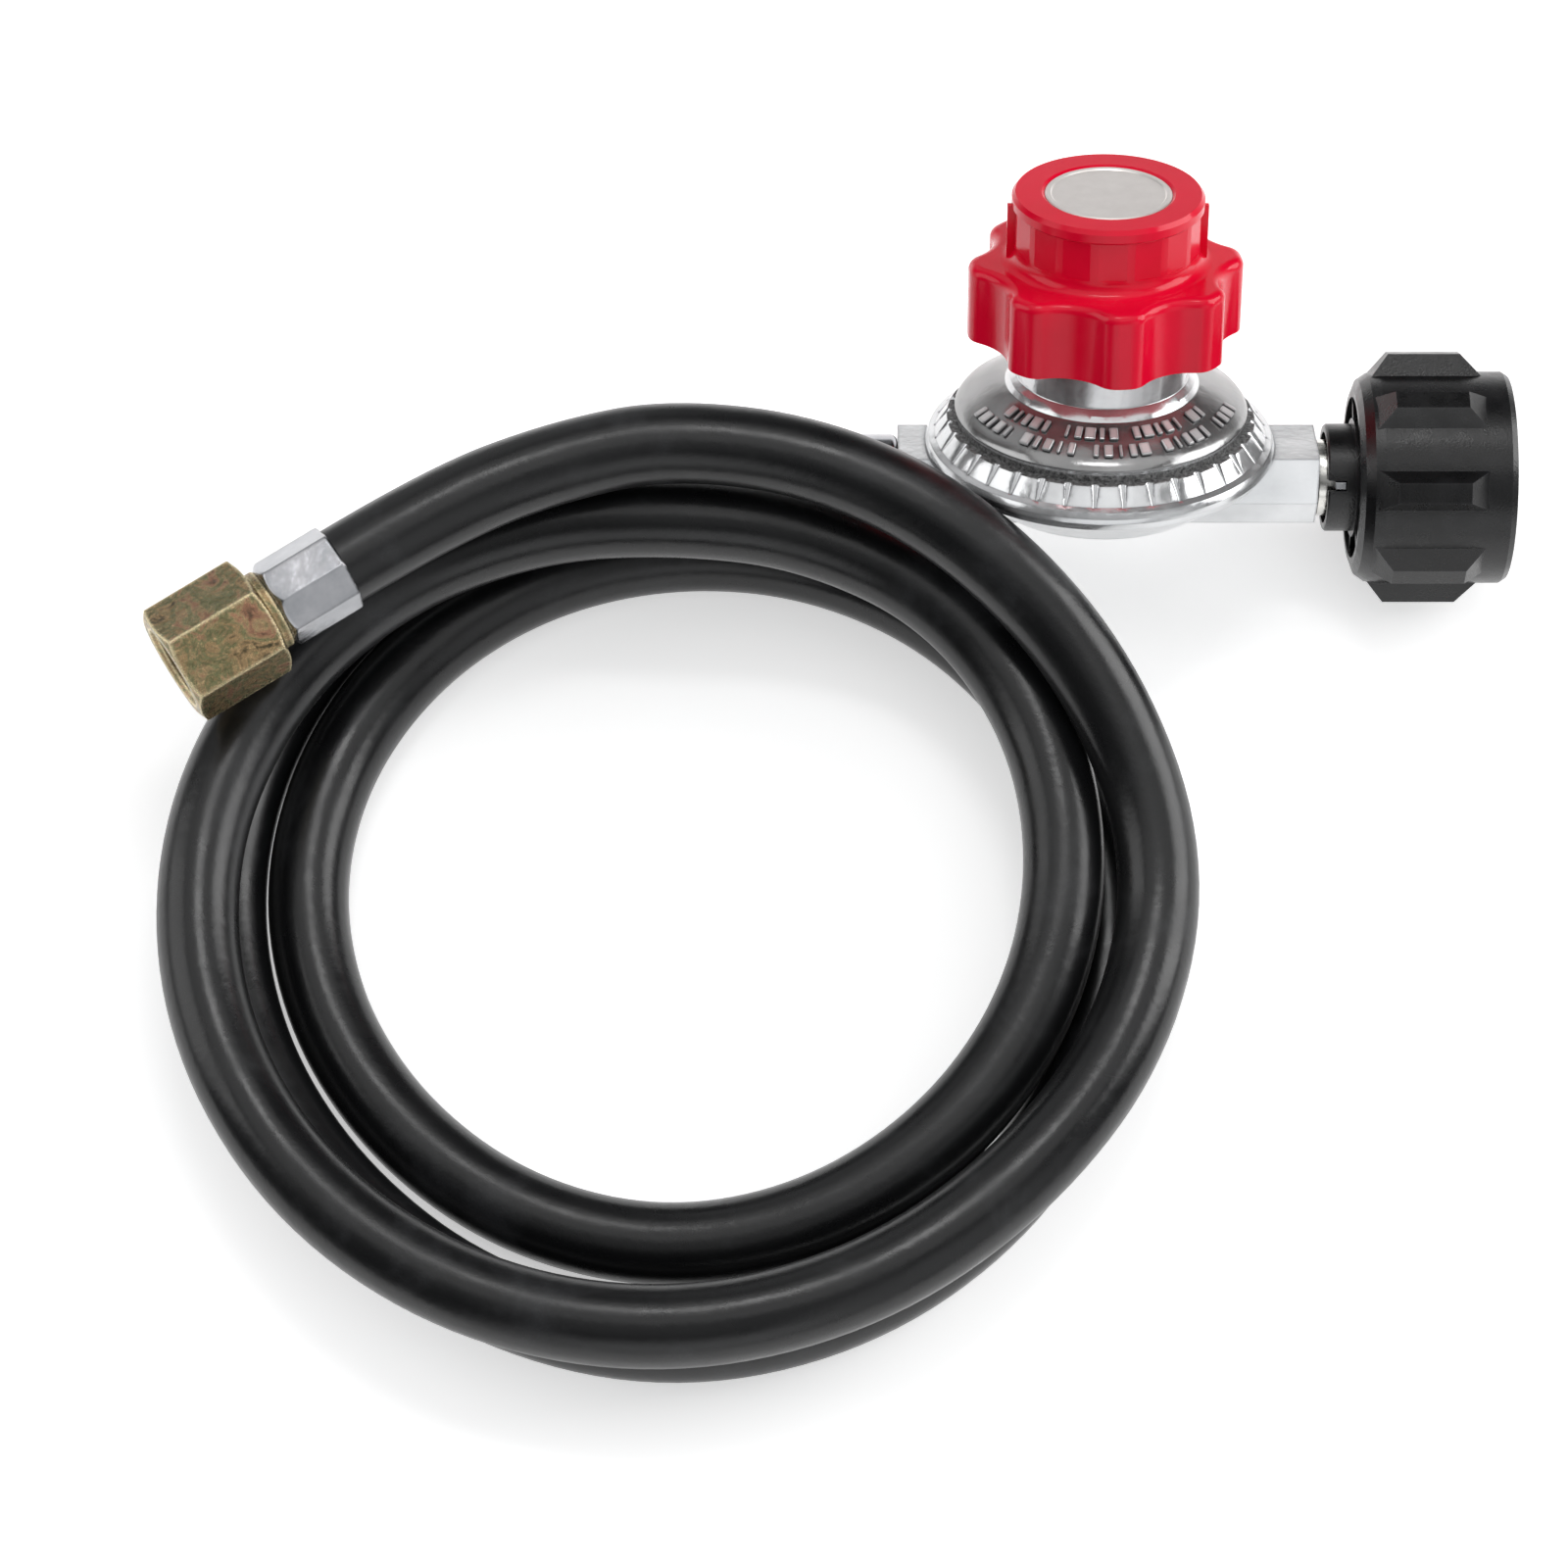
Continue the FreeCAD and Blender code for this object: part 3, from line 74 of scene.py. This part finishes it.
# ------------------------------------------------------------------ places
def axis_place():
    """Where the knob axis meets the inlet axis, and the knob axis's direction."""
    for joint in frame["record"]["behaviour"]["joints"]:
        if joint["name"] == "knob_turn":
            axis = Vector(joint["axis"]).normalized()
            return Vector(joint["pos_m"]) - axis * KNOB_TURN_HEIGHT * MM, axis


AXIS_POINT, KNOB_AXIS = axis_place()
# middle of the hose coil, on the floor
COIL = Vector((AXIS_POINT.x - 80.1 * MM, AXIS_POINT.y - 76.7 * MM, 0))
# takes a shape drawn round +Z to its place on the leaning knob axis
STACK_PLACE = Matrix.Translation(AXIS_POINT) @ Matrix.Rotation(-LEAN, 4, "X")


def on_axis(height):
    """Point on the knob axis, so many millimetres above the inlet axis."""
    return AXIS_POINT + KNOB_AXIS * height * MM


def new_object(name, data):
    """Object with this data, linked to the scene."""
    item = bpy.data.objects.new(name, data)
    bpy.context.collection.objects.link(item)
    return item


# ------------------------------------------------------------------ camera
ELEVATION = math.radians(66)
DISTANCE = 0.928
FOCAL_LENGTH = 112.5
SENSOR_WIDTH = 36
# what the camera looks at, from the coil's middle
PHOTO_CENTRE = Vector((20.6 * MM, 23.6 * MM, 0))

camera_data = bpy.data.cameras.new("camera")
camera_data.lens = FOCAL_LENGTH
camera_data.sensor_width = SENSOR_WIDTH
camera = new_object("camera", camera_data)
looking = Vector((0, math.cos(ELEVATION), -math.sin(ELEVATION)))
camera.location = COIL + PHOTO_CENTRE - looking * DISTANCE
camera.rotation_euler = (math.radians(90) - ELEVATION, 0, 0)
bpy.context.scene.camera = camera

# ------------------------------------------------------------------ hose route
HOSE_D = 0.015
# millimetres from the floor to the middle of a hose that lies on it
RESTING = 7.5
# (radius, height) in millimetres at every 45 degrees, counter-clockwise from +Y;
# two rows make a turn, and the last station only steers the curve
STATIONS = [
    (79, 26), (82, 9.5), (83, RESTING), (84.5, RESTING),
    (89, RESTING), (86, RESTING), (80.5, RESTING), (74.5, RESTING),
    (68.5, RESTING), (67, RESTING), (67.8, RESTING), (68.3, RESTING),
    (70.8, 8), (71.5, 14.5), (72, 20.5), (71, 25),
    (63, 32.5), (75.5, 24.5), (86, 23), (91, 22.5),
    (91, 23), (88.5, 23.5), (89.5, 22), (76, 44.5),
    (71.5, 46.5), (75, 45)]
# (x, y, height) in millimetres from the coil's middle: at the regulator, at the burner end
LEAD = [(22.1, 76.7, 23.57), (8.0, 76.9, 23.2)]
TAIL = [(-20.8, 68.7, 45.4), (-42.1, 60.0, 44.7), (-60.8, 47.6, 43.8)]
POINTS_PER_TURN = 16
# a quadratic spline runs inside its control points, at this share of their radius
PULL = 0.75 + 0.25 * math.cos(2 * math.pi / POINTS_PER_TURN)


def station(place):
    """Radius and height of the hose at a fractional station, smooth through the list."""
    low = min(int(math.floor(place)), len(STATIONS) - 2)
    part = place - low
    picked = [STATIONS[max(0, min(len(STATIONS) - 1, low + k))] for k in (-1, 0, 1, 2)]
    before, here, after, beyond = [Vector(p) for p in picked]
    slope = (after - before) * part
    bend = (before * 2 - here * 5 + after * 4 - beyond) * part ** 2
    twist = (here * 3 - before - after * 3 + beyond) * part ** 3
    return (here * 2 + slope + bend + twist) * 0.5


def hose_points():
    """Control points of the hose, two for each station of the coil."""
    points = [Vector(p) for p in LEAD]
    for step in range(1, 2 * (len(STATIONS) - 2) + 1):
        radius, height = station(step * 0.5)
        angle = math.radians(90 + step * 360 / POINTS_PER_TURN)
        reach = radius / PULL
        points.append(Vector((
            reach * math.cos(angle), reach * math.sin(angle), max(RESTING, height))))
    points += [Vector(p) for p in TAIL]
    return [COIL + p * MM for p in points]


hose_data = bpy.data.curves.new("hose", "CURVE")
hose_data.dimensions = "3D"
spline = hose_data.splines.new("NURBS")
route = hose_points()
spline.points.add(len(route) - 1)
for control, place in zip(spline.points, route):
    control.co = (*place, 1)
spline.order_u = 3
spline.use_endpoint_u = True
spline.resolution_u = 10
hose_data.bevel_depth = HOSE_D / 2
hose_data.bevel_resolution = 10
hose_data.twist_mode = "MINIMUM"
hose = new_object("hose", hose_data)


# ------------------------------------------------------------------ materials
def grey(value):
    """The same value for red, green and blue."""
    return (value, value, value)


class Recipe:
    """Node material with one Principled shader and small helpers."""

    def __init__(self, name, **sockets):
        self.material = bpy.data.materials.new(name)
        self.material.use_nodes = True
        self.tree = self.material.node_tree
        self.shader = self.tree.nodes["Principled BSDF"]
        self.place = self.add("ShaderNodeTexCoord").outputs["Object"]
        for socket, value in sockets.items():
            self.shader.inputs[socket.replace("_", " ")].default_value = value

    def add(self, kind, **props):
        made = self.tree.nodes.new(kind)
        for prop, value in props.items():
            setattr(made, prop, value)
        return made

    def link(self, source, target):
        self.tree.links.new(source, target)

    def stretched(self, scale):
        """Object coordinates scaled along each axis."""
        mapping = self.add("ShaderNodeMapping")
        mapping.inputs["Scale"].default_value = scale
        self.link(self.place, mapping.inputs["Vector"])
        return mapping.outputs["Vector"]

    def noise(self, scale, detail=4.0, rough=0.55, distortion=0.0, vector=None):
        made = self.add("ShaderNodeTexNoise")
        made.inputs["Scale"].default_value = scale
        made.inputs["Detail"].default_value = detail
        made.inputs["Roughness"].default_value = rough
        made.inputs["Distortion"].default_value = distortion
        self.link(vector or self.place, made.inputs["Vector"])
        return made.outputs["Fac"]

    def ramp(self, value, stops):
        """Colours or grey levels along a value, from (place, colour) rows."""
        made = self.add("ShaderNodeValToRGB")
        ramp = made.color_ramp
        while len(ramp.elements) < len(stops):
            ramp.elements.new(0.5)
        for element, (at, colour) in zip(ramp.elements, stops):
            element.position = at
            shade = colour if isinstance(colour, tuple) else grey(colour)
            element.color = (*shade, 1)
        self.link(value, made.inputs["Fac"])
        return made.outputs["Color"]

    def mix(self, factor, first, second):
        """Blend of two colours; 6, 7 and output 2 are the node's colour sockets."""
        made = self.add("ShaderNodeMix", data_type="RGBA")
        self.link(factor, made.inputs["Factor"])
        for socket, value in zip((made.inputs[6], made.inputs[7]), (first, second)):
            if isinstance(value, tuple):
                socket.default_value = (*value, 1)
            else:
                self.link(value, socket)
        return made.outputs[2]

    def math(self, operation, first, second=0.5):
        made = self.add("ShaderNodeMath", operation=operation)
        for socket, value in zip(made.inputs, (first, second)):
            if isinstance(value, (int, float)):
                socket.default_value = value
            else:
                self.link(value, socket)
        return made.outputs[0]

    def colour(self, source):
        self.link(source, self.shader.inputs["Base Color"])

    def rough(self, source):
        self.link(source, self.shader.inputs["Roughness"])

    def bump(self, heights, rounding=0):
        """Chain of bumps from (height, strength, distance) rows, over edges rounded so far."""
        normal = None
        if rounding:
            rounded = self.add("ShaderNodeBevel", samples=8)
            rounded.inputs["Radius"].default_value = rounding
            normal = rounded.outputs["Normal"]
        for height, strength, distance in heights:
            made = self.add("ShaderNodeBump")
            made.inputs["Strength"].default_value = strength
            made.inputs["Distance"].default_value = distance
            self.link(height, made.inputs["Height"])
            if normal:
                self.link(normal, made.inputs["Normal"])
            normal = made.outputs["Normal"]
        self.link(normal, self.shader.inputs["Normal"])

    def stack_height(self):
        """Height along the knob axis above the inlet axis."""
        offset = self.add("ShaderNodeVectorMath", operation="SUBTRACT")
        offset.inputs[1].default_value = AXIS_POINT
        self.link(self.place, offset.inputs[0])
        along = self.add("ShaderNodeVectorMath", operation="DOT_PRODUCT")
        along.inputs[1].default_value = KNOB_AXIS
        self.link(offset.outputs["Vector"], along.inputs[0])
        return along.outputs["Value"]

    def sharp_edge_mask(self, amount):
        """Above 0 near the mesh's own sharp edges, as far as amount reaches."""
        bevel = self.add("ShaderNodeBevel", samples=4)
        bevel.inputs["Radius"].default_value = amount
        geometry = self.add("ShaderNodeNewGeometry")
        turn = self.add("ShaderNodeVectorMath", operation="DOT_PRODUCT")
        self.link(bevel.outputs["Normal"], turn.inputs[0])
        self.link(geometry.outputs["Normal"], turn.inputs[1])
        return self.math("SUBTRACT", 1.0, turn.outputs["Value"])


def hose_rubber():
    """Black rubber with soft patches of chalky scuffs."""
    m = Recipe("hose_rubber", Specular_IOR_Level=0.5, Sheen_Weight=0.02, Sheen_Roughness=0.5)
    patches = m.noise(45, 5, 0.62, 0.4)
    scuffs = m.ramp(patches, [(0.54, 0.0), (0.68, 1.0)])
    fine = m.noise(2600, 3, 0.6)
    chalk = m.math("MULTIPLY", scuffs, fine)
    m.colour(m.mix(chalk, (0.0052, 0.0054, 0.0060), (0.030, 0.031, 0.034)))
    m.rough(m.ramp(patches, [(0.35, 0.24), (0.7, 0.38)]))
    m.bump([(m.noise(900, 4, 0.6), 0.2, 0.00008), (m.noise(150, 4), 0.3, 0.0004)])
    return m.material


# bands of the casting, in millimetres above the inlet axis
SEAM_BAND = (12.95, 14.4)
DOME_BAND = (15, 20.6)
# how far from a corner the painted corner shade reaches
PAINTED_SHADE_REACH = 2.2 * MM


def zinc_casting(name, metal, dome_dark, dome_light):
    """Die-cast zinc with painted shade in its corners and along its sharp edges, with its own tones on the
    dome.
    """
    m = Recipe(name, Metallic=metal)
    blotch = m.noise(60, 5, 0.6)
    base = m.ramp(blotch, [(0.3, (0.60, 0.61, 0.62)), (0.7, (0.84, 0.85, 0.86))])
    height = m.stack_height()

    def between(low, high):
        """1 inside a band of heights, 0 outside it."""
        above = m.math("GREATER_THAN", height, low * MM)
        return m.math("MULTIPLY", above, m.math("LESS_THAN", height, high * MM))

    dome = m.ramp(blotch, [(0.3, dome_dark), (0.7, dome_light)])
    shade = m.mix(between(*DOME_BAND), base, dome)
    # painted shade: darker in corners, creases and between the fins, where shade falls
    corners = m.add("ShaderNodeAmbientOcclusion", samples=8)
    corners.inputs["Distance"].default_value = PAINTED_SHADE_REACH
    unshaded_share = m.ramp(corners.outputs["AO"], [(0.40, 0.12), (0.85, 1.0)])
    shade = m.mix(unshaded_share, (0.06, 0.06, 0.065), shade)
    # painted shade: dark lines along the sharp edges, standing for the dark reflections on rounded rims
    painted_edge_shade = m.ramp(m.sharp_edge_mask(0.0007), [(0.01, 0.0), (0.06, 0.7)])
    shade = m.mix(painted_edge_shade, shade, (0.20, 0.20, 0.21))
    seam = between(*SEAM_BAND)
    grit = m.ramp(m.noise(1500, 4, 0.7), [(0.35, 0.05), (0.75, 0.42)])
    m.colour(m.mix(seam, shade, grit))
    polish = m.ramp(m.noise(240, 5, 0.65), [(0.3, 0.12), (0.75, 0.28)])
    m.rough(m.mix(seam, polish, grey(0.6)))
    m.bump([(m.noise(1400, 3, 0.6), 0.16, 0.00006), (m.noise(160, 3), 0.3, 0.0003)])
    return m.material


def glossy_red():
    """Moulded knob plastic, glossy with slight ripples."""
    m = Recipe("red_plastic", Specular_IOR_Level=0.25, Coat_Weight=0.08, Coat_Roughness=0.05)
    tone = m.noise(70, 4)
    m.colour(m.ramp(tone, [(0.3, (0.72, 0.0012, 0.024)), (0.7, (0.79, 0.0020, 0.032))]))
    m.rough(m.ramp(m.noise(320, 5, 0.65), [(0.3, 0.15), (0.72, 0.24)]))
    m.bump([(m.noise(1900, 3), 0.05, 0.00003), (m.noise(120, 3), 0.1, 0.0003)])
    return m.material


def satin_cap():
    """Warm silver disc in the middle of the knob."""
    m = Recipe("silver_cap", Metallic=0.6)
    tone = m.noise(300, 4, 0.6)
    m.colour(m.ramp(tone, [(0.3, (0.88, 0.83, 0.80)), (0.7, (0.95, 0.90, 0.87))]))
    m.rough(m.ramp(m.noise(500, 4), [(0.3, 0.28), (0.7, 0.33)]))
    return m.material


def black_plastic():
    """Black plastic, a little paler where it is worn."""
    m = Recipe("black_plastic", Specular_IOR_Level=0.5)
    worn = m.ramp(m.noise(90, 5, 0.65), [(0.45, 0.0), (0.72, 1.0)])
    edges = m.ramp(m.sharp_edge_mask(0.0007), [(0.03, 0.0), (0.2, 1.0)])
    body = m.mix(worn, (0.0035, 0.0035, 0.0038), (0.009, 0.009, 0.010))
    m.colour(m.mix(edges, body, (0.022, 0.022, 0.024)))
    m.rough(m.ramp(m.noise(260, 4), [(0.3, 0.22), (0.7, 0.36)]))
    m.bump([(m.noise(2600, 2, 0.5), 0.4, 0.00010), (m.noise(150, 3), 0.12, 0.0003)])
    return m.material


def bright_plate():
    """Shiny plating; the shader rounds its edges."""
    m = Recipe("bright_ferrule", Metallic=1.0)
    tone = m.noise(150, 4)
    m.colour(m.ramp(tone, [(0.3, (0.36, 0.37, 0.39)), (0.7, (0.50, 0.50, 0.52))]))
    m.rough(m.ramp(m.noise(700, 5, 0.7), [(0.35, 0.10), (0.75, 0.20)]))
    m.bump([(m.noise(160, 4, 0.5), 0.25, 0.0003)], rounding=0.9 * MM)
    return m.material


def gold_chromate():
    """Yellow-passivated steel: brown and green swirls, pale cream towards the edges."""
    m = Recipe("gold_chromate", Metallic=1.0)
    swirl = m.noise(170, 7, 0.66, 1.0)
    rainbow = m.ramp(swirl, [
        (0.34, (0.07, 0.06, 0.035)), (0.42, (0.44, 0.30, 0.16)), (0.47, (0.26, 0.21, 0.11)),
        (0.51, (0.17, 0.18, 0.09)), (0.56, (0.40, 0.29, 0.16)), (0.62, (0.36, 0.19, 0.12)),
        (0.70, (0.09, 0.07, 0.05))])
    edges = m.ramp(m.sharp_edge_mask(0.0011), [(0.008, 0.0), (0.05, 1.0)])
    m.colour(m.mix(edges, rainbow, (0.95, 0.82, 0.52)))
    m.rough(m.ramp(m.noise(900, 5, 0.7), [(0.3, 0.18), (0.72, 0.36)]))
    scratches = m.noise(420, 7, 0.75, 0.6, m.stretched((1, 1, 4)))
    fine = m.noise(1800, 3)
    m.bump([(scratches, 0.7, 0.0004), (fine, 0.14, 0.00006)], rounding=0.5 * MM)
    return m.material


def turned_metal(name, dark, light, low=0.22, high=0.4):
    """Plain metal between two tones, and between two roughnesses."""
    m = Recipe(name, Metallic=1.0)
    m.colour(m.ramp(m.noise(300, 5, 0.6), [(0.3, dark), (0.7, light)]))
    m.rough(m.ramp(m.noise(700, 4), [(0.3, low), (0.7, high)]))
    m.bump([(m.noise(1500, 3), 0.15, 0.00006)])
    return m.material


def moulded(name, dark, light):
    """Dull rubber or plastic between two tones."""
    m = Recipe(name, Specular_IOR_Level=0.4)
    m.colour(m.ramp(m.noise(200, 5), [(0.3, dark), (0.7, light)]))
    m.rough(m.ramp(m.noise(500, 4), [(0.3, 0.5), (0.7, 0.75)]))
    m.bump([(m.noise(1800, 3), 0.3, 0.00008)])
    return m.material


FINISHES = {
    "zinc_casting": zinc_casting("zinc_casting", 0.75, 0.24, 0.40),
    "red_plastic": glossy_red(),
    "silver_cap": satin_cap(),
    "black_plastic": black_plastic(),
    "bright_ferrule": bright_plate(),
    "gold_chromate": gold_chromate(),
    "hose_rubber": hose_rubber(),
    "plated_nipple": turned_metal(
        "plated_nipple", (0.6, 0.59, 0.56), (0.85, 0.84, 0.8), 0.14, 0.3),
    "plain_steel": turned_metal("plain_steel", (0.45, 0.46, 0.48), (0.7, 0.71, 0.73)),
    "plain_brass": turned_metal("plain_brass", (0.55, 0.4, 0.16), (0.8, 0.62, 0.3)),
    "steel_mesh": turned_metal("steel_mesh", (0.2, 0.2, 0.21), (0.5, 0.5, 0.52)),
    "diaphragm_rubber": moulded("diaphragm_rubber", grey(0.012), grey(0.03)),
    "bushing_plastic": moulded("bushing_plastic", grey(0.02), grey(0.05)),
}

slot_of = {row["node"]: row["material_slot"] for row in frame["record"]["subparts"]}
for name, item in nodes.items():
    for place in item.material_slots:
        place.material = FINISHES[slot_of[name]]

# millimetres of rounding on the hard parts that show
SOFT_EDGES = {
    "regulator_body": 0.35, "bonnet": 0.4, "flare_stem": 0.2, "inlet_nipple": 0.25,
    "outlet_ferrule": 0.4, "retaining_clip": 0.12}
# faces come in with corners of their own; corners this close are one
SAME_CORNER = 0.002 * MM
# edges that turn less than this are part of a round surface
SHARP_ANGLE = math.radians(22)
EDGE_SEGMENTS = 3
for name, width in SOFT_EDGES.items():
    nodes[name].modifiers.new("joined", "WELD").merge_threshold = SAME_CORNER
    bevel = nodes[name].modifiers.new("soft_edges", "BEVEL")
    bevel.width = width * MM
    bevel.segments = EDGE_SEGMENTS
    bevel.limit_method = "ANGLE"
    bevel.angle_limit = SHARP_ANGLE
    bevel.harden_normals = True

# ------------------------------------------------------------------ hose finish
hose_data.materials.append(FINISHES["hose_rubber"])
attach(hose, "regulator")
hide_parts("hose_coil", "hose_tail", "hose_lead")

# ------------------------------------------------------------------ springs that shorten
# the main spring, which reaches up under the screw's button, in millimetres above the inlet axis:
# on the diaphragm plate, and where it is cut in two
FOOT_HEIGHT = 11.35
SPLIT_HEIGHT = 17
# the same two places on the knob axis
SPRING_FOOT = on_axis(FOOT_HEIGHT)
SPRING_SPLIT = on_axis(SPLIT_HEIGHT)


def seen_copy(node, name, middle=None, beyond=None):
    """Copy of a CAD spring to be seen in its place; what lies beyond the middle goes."""
    mesh = bmesh.new()
    mesh.from_mesh(nodes[node].data)
    mesh.transform(nodes[node].matrix_world)
    bmesh.ops.remove_doubles(mesh, verts=mesh.verts, dist=SAME_CORNER)
    if middle:
        everything = mesh.verts[:] + mesh.edges[:] + mesh.faces[:]
        bmesh.ops.bisect_plane(
            mesh, geom=everything, plane_co=middle, plane_no=beyond, clear_outer=True)
        bmesh.ops.holes_fill(mesh, edges=[e for e in mesh.edges if e.is_boundary])
    for face in mesh.faces:
        face.smooth = True
    data = bpy.data.meshes.new(name)
    mesh.to_mesh(data)
    mesh.free()
    # normals kept from the CAD mesh no longer fit
    for old in [a for a in data.attributes if a.name == "custom_normal"]:
        data.attributes.remove(old)
    item = new_object(name, data)
    data.materials.append(FINISHES[slot_of[node]])
    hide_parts(node)
    return item


spring_foot = seen_copy("main_spring", "main_spring_foot", SPRING_SPLIT, KNOB_AXIS)
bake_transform(spring_foot, "diaphragm_group", "regulator", SPRING_FOOT, SPRING_SPLIT)
spring_head = seen_copy("main_spring", "main_spring_head", SPRING_SPLIT, -KNOB_AXIS)
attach(spring_head, "regulator")
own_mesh(spring_head)

check_spring = seen_copy("poppet_spring", "poppet_spring_seen")
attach(check_spring, "regulator")
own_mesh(check_spring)

# ------------------------------------------------------------------ cast relief on the bonnet
# the dome's cone as (radius, height) in millimetres, at its rim and at its neck
DOME_FOOT = (26.6, 16.3)
DOME_HEAD = (18.2, 20.5)
# rows of dashes: share of the way up the dome, number of places, degrees that they span
RELIEF_ROWS = ((0.27, 29, 150), (0.68, 20, 112))
# sizes of a dash in millimetres; its width varies from the least by up to the extra
DASH_DEPTH = 2.7
DASH_LEAST_WIDTH = 0.6
DASH_EXTRA_WIDTH = 1.4
DASH_THICKNESS = 0.7
DASH_LIFT = 0.55


def on_dome(share):
    """(radius, height) on the dome's cone, 0 at the rim and 1 at the neck."""
    return [a + (b - a) * share for a, b in zip(DOME_FOOT, DOME_HEAD)]


def add_dash(mesh, angle, share, width):
    """Raised bar on the dome, its width along the rim and its depth up the slope."""
    radius, height = on_dome(share)
    slope = math.atan2(DOME_FOOT[0] - DOME_HEAD[0], DOME_HEAD[1] - DOME_FOOT[1])
    turn = Matrix.Rotation(angle, 4, "Z") @ Matrix.Translation(
        (radius, 0, height + DASH_LIFT))
    tilt = Matrix.Rotation(math.radians(90) - slope, 4, "Y")
    size = Matrix.Diagonal((DASH_DEPTH, width, DASH_THICKNESS, 1))
    scale = Matrix.Diagonal((MM, MM, MM, 1))
    bmesh.ops.create_cube(mesh, size=1.0, matrix=scale @ turn @ tilt @ size)


relief_mesh = bmesh.new()
for row, (share, count, spread) in enumerate(RELIEF_ROWS):
    for i in range(count):
        # one place in six is left empty, as between words
        if (i + row) % 6:
            angle = math.radians(-90 + spread * (i / (count - 1) - 0.5))
            variety = ((i * 7 + row * 3) % 5) / 4
            width = DASH_LEAST_WIDTH + DASH_EXTRA_WIDTH * variety
            add_dash(relief_mesh, angle, share, width)
relief_data = bpy.data.meshes.new("bonnet_relief")
relief_mesh.to_mesh(relief_data)
relief_mesh.free()
relief_data.transform(STACK_PLACE)
relief = new_object("bonnet_relief", relief_data)
# paler than the dome, so that the dashes show
relief_data.materials.append(zinc_casting("zinc_relief", 0.4, 0.62, 0.80))
rounding = relief.modifiers.new("soft_edges", "BEVEL")
rounding.width = 0.25 * MM
rounding.segments = EDGE_SEGMENTS
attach(relief, "regulator")

# ------------------------------------------------------------------ floor and light
floor_mesh = bmesh.new()
bmesh.ops.create_grid(floor_mesh, x_segments=1, y_segments=1, size=3)
floor_data = bpy.data.meshes.new("floor")
floor_mesh.to_mesh(floor_data)
floor_mesh.free()
floor = new_object("floor", floor_data)
# painted pool of light: white round this place, from the coil's middle, greyer far away;
# the floor also glows a little with it, as on a light table
LIGHT_POOL_CENTRE = Vector((20.6 * MM, -80 * MM, 0))
pale = Recipe("pale_floor", Roughness=0.7, Specular_IOR_Level=0.05, Emission_Strength=0.55)
reach = pale.add("ShaderNodeVectorMath", operation="DISTANCE")
reach.inputs[1].default_value = COIL + LIGHT_POOL_CENTRE
pale.link(pale.place, reach.inputs[0])
# painted pool of light, which also drives the floor's glow
painted_light_pool = pale.ramp(reach.outputs["Value"], [
    (0.0, 0.92), (0.31, 0.92), (0.44, 0.40), (0.62, 0.26)])
pale.colour(painted_light_pool)
pale.link(painted_light_pool, pale.shader.inputs["Emission Color"])
floor_data.materials.append(pale.material)


def soft_light(name, place, size, power):
    """Rectangular light that faces the coil's middle."""
    data = bpy.data.lights.new(name, "AREA")
    data.shape = "RECTANGLE"
    data.size, data.size_y = size
    data.energy = power
    item = new_object(name, data)
    item.location = place
    item.rotation_euler = (COIL - Vector(place)).to_track_quat("-Z", "Y").to_euler()


soft_light("strip", (-0.035, 0.35, 1.22), (0.4, 0.15), 1.8)
soft_light("overhead", (-0.05, 0.2, 1.25), (1.8, 1.4), 6.5)
soft_light("left", (-1.0, 0.1, 0.5), (0.7, 0.8), 3)
soft_light("right", (0.95, 0.25, 0.5), (0.7, 0.8), 8)

# ------------------------------------------------------------------ dim room round the table
world = bpy.data.worlds.new("studio")
world.use_nodes = True
tree = world.node_tree
direction = tree.nodes.new("ShaderNodeTexCoord").outputs["Generated"]


def world_card(toward, inner, outer, brightness):
    """Soft round patch of light in one direction; angles in degrees from its middle."""
    aim = tree.nodes.new("ShaderNodeVectorMath")
    aim.operation = "DOT_PRODUCT"
    aim.inputs[1].default_value = Vector(toward).normalized()
    tree.links.new(direction, aim.inputs[0])
    patch = tree.nodes.new("ShaderNodeMapRange")
    patch.interpolation_type = "SMOOTHSTEP"
    # the node's sockets 1 to 4: from least, from most, to least, to most
    settings = (math.cos(math.radians(outer)), math.cos(math.radians(inner)), 0.0, brightness)
    for socket, setting in zip(list(patch.inputs)[1:5], settings):
        socket.default_value = setting
    tree.links.new(aim.outputs["Value"], patch.inputs[0])
    return patch.outputs["Result"]


# what the metal mirrors: round the camera, then below, low in front, behind, back left,
# front right and above
glow = world_card((0, -0.41, 0.91), 8, 30, 0.3)
MORE_CARDS = (
    ((0, 0, -1), 70, 95, 0.7),
    ((0, -1, 0.05), 8, 35, 1.2),
    ((0, 1, 0), 6, 26, 0.2),
    ((-0.4, 0.87, 0.34), 8, 26, 0.5),
    ((0.64, -0.66, 0.42), 12, 34, 0.72),
    ((0, 0, 1), 30, 90, 0.08))
for card in MORE_CARDS:
    total = tree.nodes.new("ShaderNodeMath")
    total.operation = "ADD"
    tree.links.new(glow, total.inputs[0])
    tree.links.new(world_card(*card), total.inputs[1])
    glow = total.outputs["Value"]
tree.links.new(glow, tree.nodes["Background"].inputs["Strength"])
tree.nodes["Background"].inputs["Color"].default_value = (0.98, 0.99, 1, 1)
bpy.context.scene.world = world
bpy.context.scene.view_settings.view_transform = "Standard"
